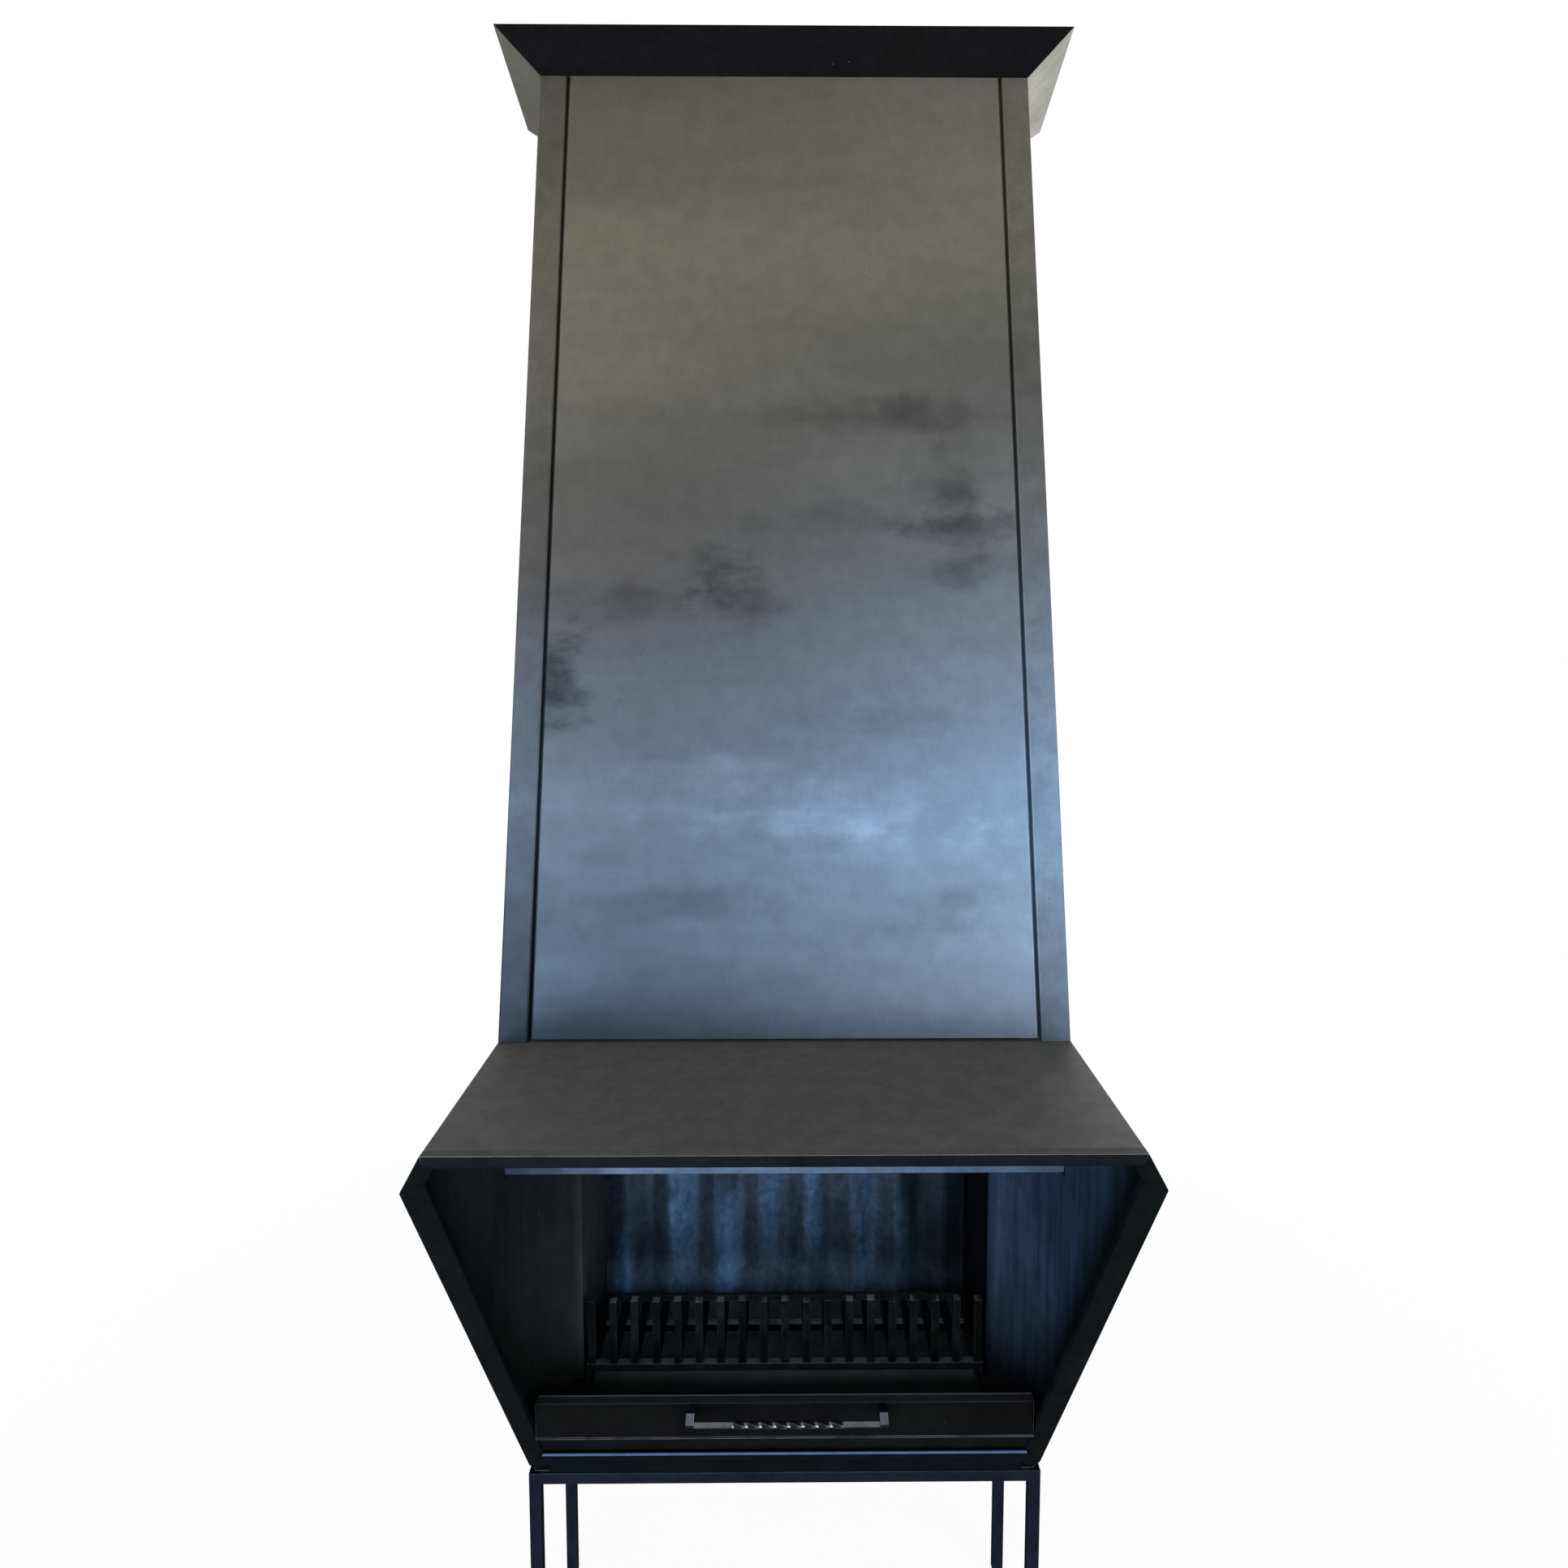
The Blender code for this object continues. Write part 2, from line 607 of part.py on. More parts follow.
def build_linings(carrier, mouth_cutter):
    """The hearth plate, the panel below it, the rolled cheeks, the fireback and the smoke baffle."""
    hearth_front = mouth_y(HEARTH_Z) + EDGE_SETBACK + MOUTH_SLOPE * HEARTH_SHEET
    hearth = box(
        -INSIDE_HALF_WIDTH,
        INSIDE_HALF_WIDTH,
        hearth_front,
        -BACK_PLATE_FRONT,
        HEARTH_Z - HEARTH_SHEET,
        HEARTH_Z,
    )
    add_piece("hearth_floor", hearth, SOOTED_STEEL, carrier)

    panel_bends = [
        (mouth_y(BASE_PANEL_FOOT_Z) + BASE_PANEL_SETBACK, BASE_PANEL_FOOT_Z),
        (mouth_y(HEARTH_Z) + BASE_PANEL_SETBACK, HEARTH_Z),
        (hearth_front - SEAT_GAP, HEARTH_Z),
    ]
    panel = along_x(sheet_outline(folded(panel_bends), BASE_PANEL_SHEET), -BETWEEN_RIMS, BETWEEN_RIMS)
    add_piece("base_front_panel", panel, RIM_PAINT, carrier)

    cheek_foot = HEARTH_Z + SEAT_GAP
    cheek_top = SHOULDER_Z - CASING_SHEET
    notch = box(
        -BODY_HALF_WIDTH - CUT_OVERRUN,
        BODY_HALF_WIDTH + CUT_OVERRUN,
        -(BAFFLE_DEPTH + CHEEK_NOTCH_MARGIN),
        CUT_OVERRUN,
        BAFFLE_Z - SEAT_GAP,
        SHELF_Z + CUT_OVERRUN,
    )
    notch_cutter = add_cutter("cheek_notch_cutter", notch, carrier)
    left_bends = cheek_bends()
    for side, bends in (("left", left_bends), ("right", mirrored(left_bends))):
        skin = along_z(sheet_outline(bends, LINING_SHEET), cheek_foot, cheek_top)
        cheek = add_piece(f"cheek_{side}", skin, LINING_STEEL, carrier, smooth=True)
        cut(cheek, mouth_cutter, notch_cutter)

    fireback_half_width = NICHE_HALF_WIDTH - SEAT_GAP
    steps = FIREBACK_RIBS * FIREBACK_STEPS_PER_RIB
    wave = []
    for step in range(steps + 1):
        across = fireback_half_width * (2 * step / steps - 1)
        wave.append((across, -FIREBACK_WAVE * math.cos(math.tau * step / FIREBACK_STEPS_PER_RIB)))
    front_y = -FIREBACK_MIDDLE_DEPTH - FIREBACK_SHEET / 2
    outline = [(across, front_y - swell) for across, swell in wave]
    outline += [(across, front_y + FIREBACK_SHEET - swell) for across, swell in reversed(wave)]
    fireback = along_z(outline, cheek_foot, BAFFLE_Z - SEAT_GAP)
    add_piece("fireback", fireback, LINING_STEEL, carrier, smooth=True)

    baffle_bends = [
        (-BACK_PLATE_FRONT, BAFFLE_Z),
        (-BAFFLE_DEPTH, BAFFLE_Z),
        (-BAFFLE_DEPTH, BAFFLE_Z + BAFFLE_FLANGE),
    ]
    baffle_section = sheet_outline(folded(baffle_bends), BAFFLE_SHEET)
    baffle = along_x(baffle_section, -INSIDE_HALF_WIDTH, INSIDE_HALF_WIDTH)
    add_piece("smoke_baffle", baffle, BARE_STEEL, carrier)


def build_grate(carrier):
    """Two cross bars on short legs, and the bent bars that lie on them and stand up in front."""
    leg_outer = GRATE_LEG_INNER + GRATE_LEG_WIDTH
    foot = HEARTH_Z + SEAT_GAP
    cross_outline = [
        (-leg_outer, foot),
        (-GRATE_LEG_INNER, foot),
        (-GRATE_LEG_INNER, GRATE_CROSS_Z),
        (GRATE_LEG_INNER, GRATE_CROSS_Z),
        (GRATE_LEG_INNER, foot),
        (leg_outer, foot),
        (leg_outer, GRATE_CROSS_Z + GRATE_BAR),
        (-leg_outer, GRATE_CROSS_Z + GRATE_BAR),
    ]
    half_bar = GRATE_BAR / 2
    for place, depth in (("front", GRATE_FRONT_DEPTH), ("rear", GRATE_CROSS_REAR_DEPTH)):
        cross = along_y(cross_outline, -depth - half_bar, half_bar - depth)
        add_piece(f"grate_cross_{place}", cross, FORGED_STEEL, carrier)

    front = -GRATE_FRONT_DEPTH - half_bar
    for index in range(GRATE_BARS):
        top = GRATE_TOP_Z - GRATE_TRIM * GRATE_TRIM_SHARES[index % len(GRATE_TRIM_SHARES)]
        bar_outline = [
            (front, GRATE_FLOOR_Z),
            (-GRATE_REAR_DEPTH, GRATE_FLOOR_Z),
            (-GRATE_REAR_DEPTH, GRATE_FLOOR_Z + GRATE_BAR),
            (front + GRATE_BAR, GRATE_FLOOR_Z + GRATE_BAR),
            (front + GRATE_BAR, top),
            (front, top),
        ]
        middle = GRATE_PITCH * (index - (GRATE_BARS - 1) / 2)
        skin = along_x(bar_outline, middle - half_bar, middle + half_bar)
        add_piece(f"grate_bar_{index + 1:02d}", skin, FORGED_STEEL, carrier)


def post_outline():
    """Return a handle post's side: rising to its brow, then sloping like the bar's upper face."""
    toe = HANDLE_BROW_Y - HANDLE_POST_SLOPE
    return [
        (HANDLE_POST_ROOT, HANDLE_POST_TOP - HANDLE_POST_HEIGHT),
        (toe, HANDLE_BROW_Z - HANDLE_POST_HEIGHT),
        (toe, HANDLE_BROW_Z - HANDLE_POST_SLOPE),
        (HANDLE_BROW_Y, HANDLE_BROW_Z),
        (HANDLE_POST_ROOT, HANDLE_POST_TOP),
    ]


def handle_bar_skin():
    """Return the handle's square bar, lying on its edge and twisted in the middle."""
    half_bar = HANDLE_BAR / 2
    inset = (half_bar + HANDLE_BAR_SINK) * math.sin(HANDLE_BAR_TILT)
    bar_y = HANDLE_BROW_Y - HANDLE_BAR_ALONG + inset
    bar_z = HANDLE_BROW_Z - HANDLE_BAR_ALONG - inset
    half_length = (HANDLE_SPAN - HANDLE_POST_WIDTH) / 2 + HANDLE_WELD_DEPTH
    steps = HANDLE_TURNS * HANDLE_STEPS_PER_TURN
    stations = [(-half_length, 0)]
    for step in range(steps + 1):
        across = HANDLE_TWIST_SPAN * (step / steps - 1 / 2)
        stations.append((across, math.tau * HANDLE_TURNS * step / steps))
    stations.append((half_length, 0))
    rings = []
    for across, twist in stations:
        turned = HANDLE_BAR_TILT + twist
        ring = []
        for depth, rise in rectangle(-half_bar, half_bar, -half_bar, half_bar):
            turned_y = depth * math.cos(turned) - rise * math.sin(turned)
            turned_z = depth * math.sin(turned) + rise * math.cos(turned)
            ring.append((across, bar_y + turned_y, bar_z + turned_z))
        rings.append(ring)
    return loft(rings)


def build_drawer(carrier):
    """The ash drawer: folded front, shallow tray and twisted handle."""
    foot = HEARTH_Z + SEAT_GAP
    front_bends = [
        (-DRAWER_FACE_DEPTH - DRAWER_FOOT_LIP, foot + DRAWER_SHEET),
        (-DRAWER_FACE_DEPTH, foot + DRAWER_SHEET),
    ]
    front_bends += folded(
        [
            (-DRAWER_FACE_DEPTH, HEARTH_Z + TRAY_HEIGHT),
            (-DRAWER_FACE_DEPTH, DRAWER_TOP_Z),
            (DRAWER_TOP_FLANGE - DRAWER_FACE_DEPTH, DRAWER_TOP_Z),
        ]
    )
    front = along_x(sheet_outline(front_bends, DRAWER_SHEET), -DRAWER_HALF_WIDTH, DRAWER_HALF_WIDTH)
    add_piece("drawer_front", front, LINING_STEEL, carrier)

    tray_front = DRAWER_SHEET + SEAT_GAP - DRAWER_FACE_DEPTH
    outer = rectangle(-TRAY_HALF_WIDTH, TRAY_HALF_WIDTH, tray_front, -TRAY_REAR_DEPTH)
    inner_half = TRAY_HALF_WIDTH - TRAY_SHEET
    inner = rectangle(-inner_half, inner_half, tray_front + TRAY_SHEET, -TRAY_REAR_DEPTH - TRAY_SHEET)
    top = foot + TRAY_HEIGHT
    levels = ((outer, foot), (outer, top), (inner, top), (inner, foot + TRAY_SHEET))
    tray = loft([[(x, y, height) for x, y in corners] for corners, height in levels])
    add_piece("drawer_tray", tray, LINING_STEEL, carrier)

    handle = add_piece("drawer_handle", handle_bar_skin(), FORGED_STEEL, carrier, smooth=True)
    for side, sign in (("left", -1), ("right", 1)):
        middle = sign * HANDLE_SPAN / 2
        half_width = HANDLE_POST_WIDTH / 2
        post = along_x(post_outline(), middle - half_width, middle + half_width)
        weld(handle, add_cutter(f"handle_post_{side}", post, carrier.parent))


def circle(radius, sides):
    """Return the corners of a round outline about its own centre."""
    angles = [math.tau * side / sides for side in range(sides)]
    return [(radius * math.cos(angle), radius * math.sin(angle)) for angle in angles]


def build_damper(carrier, fixed_carrier):
    """The flap over the smoke outlet on its rod, and the two brackets that the rod turns in."""
    flap_rear = -(DAMPER_AXIS_DEPTH + DAMPER_ROD_RADIUS + SEAT_GAP)
    flap_front = -(OUTLET_FRONT_DEPTH + DAMPER_OVERLAP)
    flap_z = SHELF_Z + SEAT_GAP
    flap_bends = [
        (flap_rear, flap_z + DAMPER_FLANGE),
        (flap_rear, flap_z),
        (flap_front, flap_z),
        (flap_front, flap_z + DAMPER_FLANGE),
    ]
    flap_section = sheet_outline(folded(flap_bends[::-1]), -DAMPER_SHEET)
    flap = along_x(flap_section, -DAMPER_HALF_WIDTH, DAMPER_HALF_WIDTH)
    add_piece("damper_flap", flap, SOOTED_STEEL, carrier)

    bracket_inner = DAMPER_HALF_WIDTH + BRACKET_SIDE_GAP
    bracket_outer = bracket_inner + BRACKET_THICKNESS
    rod_half = bracket_outer + DAMPER_ROD_OVERHANG
    rod_outline = [
        (y - DAMPER_AXIS_DEPTH, z + DAMPER_AXIS_Z) for y, z in circle(DAMPER_ROD_RADIUS, ROUND_SIDES)
    ]
    rod = along_x(rod_outline, -rod_half, rod_half)
    add_piece("damper_rod", rod, SOOTED_STEEL, carrier, smooth=True)

    bore = circle(DAMPER_ROD_RADIUS + DAMPER_BORE_CLEARANCE, ROUND_SIDES)
    bore_outline = [(y - DAMPER_AXIS_DEPTH, z + DAMPER_AXIS_Z) for y, z in bore]
    bore_skin = along_x(bore_outline, -rod_half - CUT_OVERRUN, rod_half + CUT_OVERRUN)
    bore_cutter = add_cutter("bracket_bore_cutter", bore_skin, fixed_carrier)
    for side, sign in (("left", -1), ("right", 1)):
        ends = sorted((sign * bracket_inner, sign * bracket_outer))
        bracket = box(
            *ends,
            -DAMPER_AXIS_DEPTH - BRACKET_HALF_WIDTH,
            BRACKET_HALF_WIDTH - DAMPER_AXIS_DEPTH,
            flap_z,
            DAMPER_AXIS_Z + BRACKET_HALF_WIDTH,
        )
        cut(add_piece(f"damper_bracket_{side}", bracket, SOOTED_STEEL, fixed_carrier), bore_cutter)


def casing_bends(height):
    """Return the right hood casing's plan at a height: wing, front strip, rebate and flange."""
    half = hood_half_width(height)
    front = hood_front(height)
    strip_end = half - HOOD_STRIP
    return folded(
        [
            (half, -HOOD_BACK_SHEET - SEAT_GAP),
            (half, front),
            (strip_end, front),
            (strip_end, front + HOOD_REBATE),
            (strip_end - HOOD_FLANGE, front + HOOD_REBATE),
        ]
    )


def front_panel_bends(height):
    """Return the hood front panel's plan at a height, with its two short returns."""
    half = hood_half_width(height) - HOOD_STRIP - HOOD_GROOVE
    front = hood_front(height)
    seat = front + HOOD_REBATE - SEAT_GAP
    return folded([(half, seat), (half, front), (-half, front), (-half, seat)])


def build_hood(carrier):
    """The tapering hood: two casings, front panel, back panel, top plate and flue collar."""
    foot = SHELF_Z + SEAT_GAP
    top = HOOD_TOP_Z - SEAT_GAP
    for side in ("left", "right"):
        rings = []
        for height in (foot, top):
            bends = casing_bends(height)
            if side == "left":
                bends = mirrored(bends)
            rings.append([(x, y, height) for x, y in sheet_outline(bends, HOOD_SHEET)])
        add_piece(f"hood_casing_{side}", loft(rings), HOOD_PAINT, carrier)

    panel_rings = []
    for height in (HOOD_FOOT_Z, top):
        outline = sheet_outline(front_panel_bends(height), HOOD_SHEET)
        panel_rings.append([(x, y, height) for x, y in outline])
    add_piece("hood_front_panel", loft(panel_rings), HOOD_PAINT, carrier)

    back_outline = [
        (-hood_half_width(foot), foot),
        (hood_half_width(foot), foot),
        (hood_half_width(top), top),
        (-hood_half_width(top), top),
    ]
    back = along_y(back_outline, -HOOD_BACK_SHEET, 0)
    add_piece("hood_back_panel", back, HOOD_PAINT, carrier)

    inside = HOOD_TOP_HALF_WIDTH - CORNICE_SHEET - SEAT_GAP
    plate_front = CORNICE_SHEET + SEAT_GAP - HOOD_TOP_DEPTH
    plate_top = HOOD_TOP_Z + TOP_PLATE_SHEET
    plate = box(-inside, inside, plate_front, -HOOD_BACK_SHEET - SEAT_GAP, HOOD_TOP_Z, plate_top)
    top_plate = add_piece("hood_top_plate", plate, HOOD_PAINT, carrier)
    flue_inner = FLUE_RADIUS - FLUE_WALL
    bore = [(x, y - FLUE_CENTRE_DEPTH) for x, y in circle(flue_inner, FLUE_SIDES)]
    bore_skin = along_z(bore, HOOD_TOP_Z - CUT_OVERRUN, plate_top + CUT_OVERRUN)
    cut(top_plate, add_cutter("flue_bore_cutter", bore_skin, carrier))

    collar_foot = plate_top + SEAT_GAP
    levels = (
        (FLUE_RADIUS, collar_foot),
        (FLUE_RADIUS, plate_top + FLUE_RISE),
        (flue_inner, plate_top + FLUE_RISE),
        (flue_inner, collar_foot),
    )
    rings = []
    for radius, height in levels:
        rings.append([(x, y - FLUE_CENTRE_DEPTH, height) for x, y in circle(radius, FLUE_SIDES)])
    add_piece("flue_collar", loft(rings, closed=True), HOOD_PAINT, carrier, smooth=True)


def build_cornice(carrier):
    """The flared cornice: a front flap and two side flaps that open out towards the wall."""
    top = HOOD_TOP_Z + CORNICE_RISE
    front_rings = []
    for sign in (-1, 1):
        root_x = HOOD_TOP_HALF_WIDTH - SEAT_GAP
        top_x = root_x + CORNICE_CORNER_OVERHANG
        top_y = -HOOD_TOP_DEPTH - CORNICE_FRONT_OVERHANG
        front_rings.append(
            [
                (sign * root_x, -HOOD_TOP_DEPTH, HOOD_TOP_Z),
                (sign * top_x, top_y, top),
                (sign * (top_x - CORNICE_SHEET), top_y + CORNICE_SHEET, top),
                (sign * (root_x - CORNICE_SHEET), CORNICE_SHEET - HOOD_TOP_DEPTH, HOOD_TOP_Z),
            ]
        )
    add_piece("cornice_front", loft(front_rings), HOOD_PAINT, carrier)

    for side, sign in (("left", -1), ("right", 1)):
        rings = []
        for station in range(CORNICE_STATIONS + 1):
            share = station / CORNICE_STATIONS
            left_over = 1 - share
            overhang = CORNICE_CORNER_OVERHANG * left_over + CORNICE_WALL_OVERHANG * share
            root_y = (SEAT_GAP - HOOD_TOP_DEPTH) * left_over
            top_y = root_y - CORNICE_FRONT_OVERHANG * left_over
            mitre = CORNICE_SHEET * left_over
            root_x = HOOD_TOP_HALF_WIDTH
            top_x = root_x + overhang
            rings.append(
                [
                    (sign * root_x, root_y, HOOD_TOP_Z),
                    (sign * top_x, top_y, top),
                    (sign * (top_x - CORNICE_SHEET), top_y + mitre, top),
                    (sign * (root_x - CORNICE_SHEET), root_y + mitre, HOOD_TOP_Z),
                ]
            )
        add_piece(f"cornice_{side}", loft(rings), HOOD_PAINT, carrier, smooth=True)


def main():
    """Build the whole fireplace."""
    clear_scene()
    frame = add_empty("fireplace_frame", (0, 0, -MOUNT_HEIGHT))
    drawer_slide = add_empty("ash_drawer_slide", (0, -DRAWER_FACE_DEPTH, HEARTH_Z), frame)
    grate_lift = add_empty("grate_lift", (0, -GRATE_FRONT_DEPTH, HEARTH_Z), frame)
    damper_hinge = add_empty("damper_hinge", (0, -DAMPER_AXIS_DEPTH, DAMPER_AXIS_Z), frame)

    low, high = SIDE_FOOT_Z - CUT_OVERRUN, SHELF_Z + CUT_OVERRUN
    ahead = mouth_y(high) - CUT_OVERRUN
    mouth_outline = [
        (mouth_y(low) + EDGE_SETBACK, low),
        (mouth_y(high) + EDGE_SETBACK, high),
        (ahead, high),
        (ahead, low),
    ]
    reach = BODY_HALF_WIDTH + CUT_OVERRUN
    mouth_cutter = add_cutter("mouth_cutter", along_x(mouth_outline, -reach, reach), frame)
    outlet = box(
        -OUTLET_HALF_WIDTH,
        OUTLET_HALF_WIDTH,
        -OUTLET_FRONT_DEPTH,
        -OUTLET_REAR_DEPTH,
        SHELF_Z - CUT_OVERRUN,
        SHELF_Z + CUT_OVERRUN,
    )
    outlet_cutter = add_cutter("outlet_cutter", outlet, frame)

    build_leg_frame(frame)
    build_body(frame, mouth_cutter, outlet_cutter)
    build_mouth(frame)
    build_linings(frame, mouth_cutter)
    build_grate(grate_lift)
    build_drawer(drawer_slide)
    build_damper(damper_hinge, frame)
    build_hood(frame)
    build_cornice(frame)


main()
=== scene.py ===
"""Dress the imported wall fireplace: blackened sheet steel, a log grate and a drawer with a twisted handle."""

import logging
import math
from dataclasses import dataclass, replace
from enum import Enum, IntEnum
from functools import cached_property, partial, reduce
from typing import Callable

import bmesh
import bpy
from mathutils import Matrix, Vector


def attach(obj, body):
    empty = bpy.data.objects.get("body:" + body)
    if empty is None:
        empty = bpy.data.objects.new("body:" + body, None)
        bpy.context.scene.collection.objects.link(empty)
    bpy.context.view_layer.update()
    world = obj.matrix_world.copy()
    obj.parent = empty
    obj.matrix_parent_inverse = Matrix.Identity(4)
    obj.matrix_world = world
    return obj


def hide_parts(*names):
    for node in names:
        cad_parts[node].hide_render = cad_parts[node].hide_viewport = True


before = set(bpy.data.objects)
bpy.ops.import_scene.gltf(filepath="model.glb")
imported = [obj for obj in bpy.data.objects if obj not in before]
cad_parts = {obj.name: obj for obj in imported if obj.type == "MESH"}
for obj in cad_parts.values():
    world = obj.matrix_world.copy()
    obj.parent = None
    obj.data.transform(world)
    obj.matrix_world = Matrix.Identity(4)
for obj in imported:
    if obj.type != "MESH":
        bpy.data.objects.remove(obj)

LOG = logging.getLogger("fireplace")

Pair = tuple[float, float]
Triple = tuple[float, float, float]
Colour = tuple[float, float, float, float]
Skin = bmesh.types.BMesh
Value = bpy.types.NodeSocket | float | tuple

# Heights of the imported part, counted from the middle of its back plate
FLOOR_Z = -0.816
MOUTH_FOOT_DEPTH = 0.233
MOUTH_FOOT_Z = -0.385
MOUTH_SLOPE = 0.5864
BODY_HALF_WIDTH = 0.4
SHELF_HALF_WIDTH = 0.363
SHOULDER_Z = 0.334
SHELF_Z = 0.396

# How far the mouth's frame is drawn in at its shoulders
SHOULDER_REACH = 0.04
SHOULDER_SHARE = 0.61

# Shares and angles that every formed piece uses
FOLD_WIDTH_SHARE = 2.5
FOLD_ANGLE = math.radians(25)
EDGE_ANGLE = math.radians(50)
SMOOTH_ANGLE = math.radians(35)
FLAT_ANGLE = math.radians(0.6)
MERGE_DISTANCE = 0.00002
ROUND_PROFILE = 0.5
EDGE_SEGMENTS = 2

# Directions for painted light: tops, the side whose rounded edges get a painted highlight, and how narrow a
# painted glint is
UP = (0.0, 0.0, 1.0)
TOP_LIMITS = (0.3, 0.8)
HIGHLIGHT_AIM = (0.0, -0.3, 0.95)
HIGHLIGHT_LIMITS = (-0.1, 0.5)
RUBBED_GLOSS = -0.12
GLINT_LIMITS = (0.98, 0.997)
GRAIN_STRENGTH = 0.35


class Body(Enum):
    """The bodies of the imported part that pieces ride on."""

    FIREPLACE = "fireplace"
    DRAWER = "ash_drawer"
    GRATE = "grate"
    DAMPER = "damper"


class Slot(Enum):
    """The record's material slots."""

    HOOD = "hood_paint"
    LEGS = "frame_paint"
    BODY = "body_paint"
    RIM = "rim_paint"
    LINING = "lining_steel"
    SOOTED = "sooted_steel"
    BARE = "bare_steel"
    FORGED = "forged_steel"


class MixSocket(IntEnum):
    """Where a colour mix node keeps its sockets."""

    FACTOR = 0
    RESULT = 2
    FIRST = 6
    SECOND = 7


def tone(red: int, green: int, blue: int) -> Colour:
    """Turn a colour of 0 to 255 as it is seen into the linear one that a shader takes."""
    parts = [level / 255 for level in (red, green, blue)]
    return (*(part / 12.92 if part <= 0.04045 else ((part + 0.055) / 1.055) ** 2.4 for part in parts), 1.0)


def dimmed(colour: Colour, gain: float) -> Colour:
    """Return a linear colour multiplied by a gain."""
    return (colour[0] * gain, colour[1] * gain, colour[2] * gain, 1.0)


class Graph:
    """Short calls that add nodes to one tree and join them."""

    def __init__(self, tree: bpy.types.NodeTree) -> None:
        """Remember the tree, and start without clouds."""
        self.tree = tree
        self.clouds: Value = 0.5

    def add(self, kind: str, inputs: dict | None = None, **settings: object) -> bpy.types.Node:
        """Add a node, set its properties and fill its inputs.

        Args:
            kind: The node's type name.
            inputs: Outputs or plain values for its inputs, by their names or places.
            settings: Properties to set on it.

        Returns:
            The new node.
        """
        node = self.tree.nodes.new(kind)
        for name, value in settings.items():
            setattr(node, name, value)
        self.fill(node, inputs or {})
        return node

    def fill(self, node: bpy.types.Node, inputs: dict) -> None:
        """Link an output to each input, or write a plain value in it.

        Args:
            node: The node.
            inputs: Outputs or plain values, by the inputs' names or places.
        """
        for name, value in inputs.items():
            if isinstance(value, bpy.types.NodeSocket):
                self.tree.links.new(value, node.inputs[name])
            else:
                node.inputs[name].default_value = value

    def group(self, tree: bpy.types.NodeTree, **inputs: Value) -> bpy.types.Node:
        """Add a shader group and fill its inputs."""
        return self.add("ShaderNodeGroup", inputs, node_tree=tree)

    def maths(self, operation: str, first: Value, second: Value = 0.0, clamp: bool = False) -> Value:
        """Return the result of one sum on numbers."""
        node = self.add("ShaderNodeMath", {0: first, 1: second}, operation=operation, use_clamp=clamp)
        return node.outputs[0]

    def times(self, *factors: Value) -> Value:
        """Return numbers multiplied by one another."""
        return reduce(partial(self.maths, "MULTIPLY"), factors)

    def vector(self, operation: str, first: Value, second: Value) -> bpy.types.Node:
        """Return the node of one sum on vectors."""
        return self.add("ShaderNodeVectorMath", {0: first, 1: second}, operation=operation)

    def stretched(self, place: Value, stretch: Value) -> Value:
        """Return a place multiplied along X, Y and Z."""
        return self.vector("MULTIPLY", place, stretch).outputs[0]

    def length(self, value: Value) -> Value:
        """Return how long a vector is."""
        return self.add("ShaderNodeVectorMath", {0: value}, operation="LENGTH").outputs["Value"]

    def ease(self, value: Value, start: float, end: float, low: float = 0.0, high: float = 1.0) -> Value:
        """Return low before start and high after end, with a soft change between them."""
        return self.spread(value, low, high, (start, end), "SMOOTHSTEP")

    def spread(
        self, value: Value, low: float, high: float, limits: Pair = (0.0, 1.0), kind: str = "LINEAR"
    ) -> Value:
        """Return a value that lies between two limits spread from low to high."""
        inputs = dict(enumerate((value, *limits, low, high)))
        return self.add("ShaderNodeMapRange", inputs, interpolation_type=kind).outputs[0]

    def mix(self, factor: Value, first: Value, second: Value, blend: str = "MIX") -> Value:
        """Return one colour laid over another by a factor."""
        inputs = {MixSocket.FACTOR: factor, MixSocket.FIRST: first, MixSocket.SECOND: second}
        return self.add("ShaderNodeMix", inputs, data_type="RGBA", blend_type=blend).outputs[MixSocket.RESULT]

    def noise(self, place: Value, scale: float = 1.0, detail: float = 2.0, roughness: float = 0.5) -> Value:
        """Return cloudy noise of 0 to 1 at a place."""
        inputs = {"Vector": place, "Scale": scale, "Detail": detail, "Roughness": roughness}
        return self.add("ShaderNodeTexNoise", inputs).outputs["Fac"]

    def ramp(self, value: Value, stops: list[tuple[float, Colour]]) -> Value:
        """Return a colour read from stops along a value of 0 to 1.

        Args:
            value: What is looked up.
            stops: Places along the ramp and their colours.

        Returns:
            A colour socket.
        """
        node = self.add("ShaderNodeValToRGB", {"Fac": value})
        elements = node.color_ramp.elements
        while len(elements) < len(stops):
            elements.new(1.0)
        for element, (position, colour) in zip(elements, stops):
            element.position = position
            element.color = colour
        return node.outputs["Color"]

    @cached_property
    def parts(self) -> bpy.types.NodeOutputs:
        """The X, Y and Z of the place on the object."""
        return self.add("ShaderNodeSeparateXYZ", {0: self.place}).outputs

    def facing(self, aim: Triple = UP) -> Value:
        """Return how far the surface faces a direction, from -1 to 1."""
        normal = self.add("ShaderNodeTexCoord").outputs["Normal"]
        return self.vector("DOT_PRODUCT", normal, aim).outputs["Value"]

    def shaded(self, colour: Value, share: Value) -> Value:
        """Return a colour multiplied by a number."""
        grey = self.add("ShaderNodeCombineColor", dict.fromkeys(("Red", "Green", "Blue"), share))
        return self.mix(1.0, colour, grey.outputs[0], "MULTIPLY")

    @cached_property
    def place(self) -> bpy.types.NodeSocket:
        """The place on the object, in metres."""
        return self.add("ShaderNodeTexCoord").outputs["Object"]


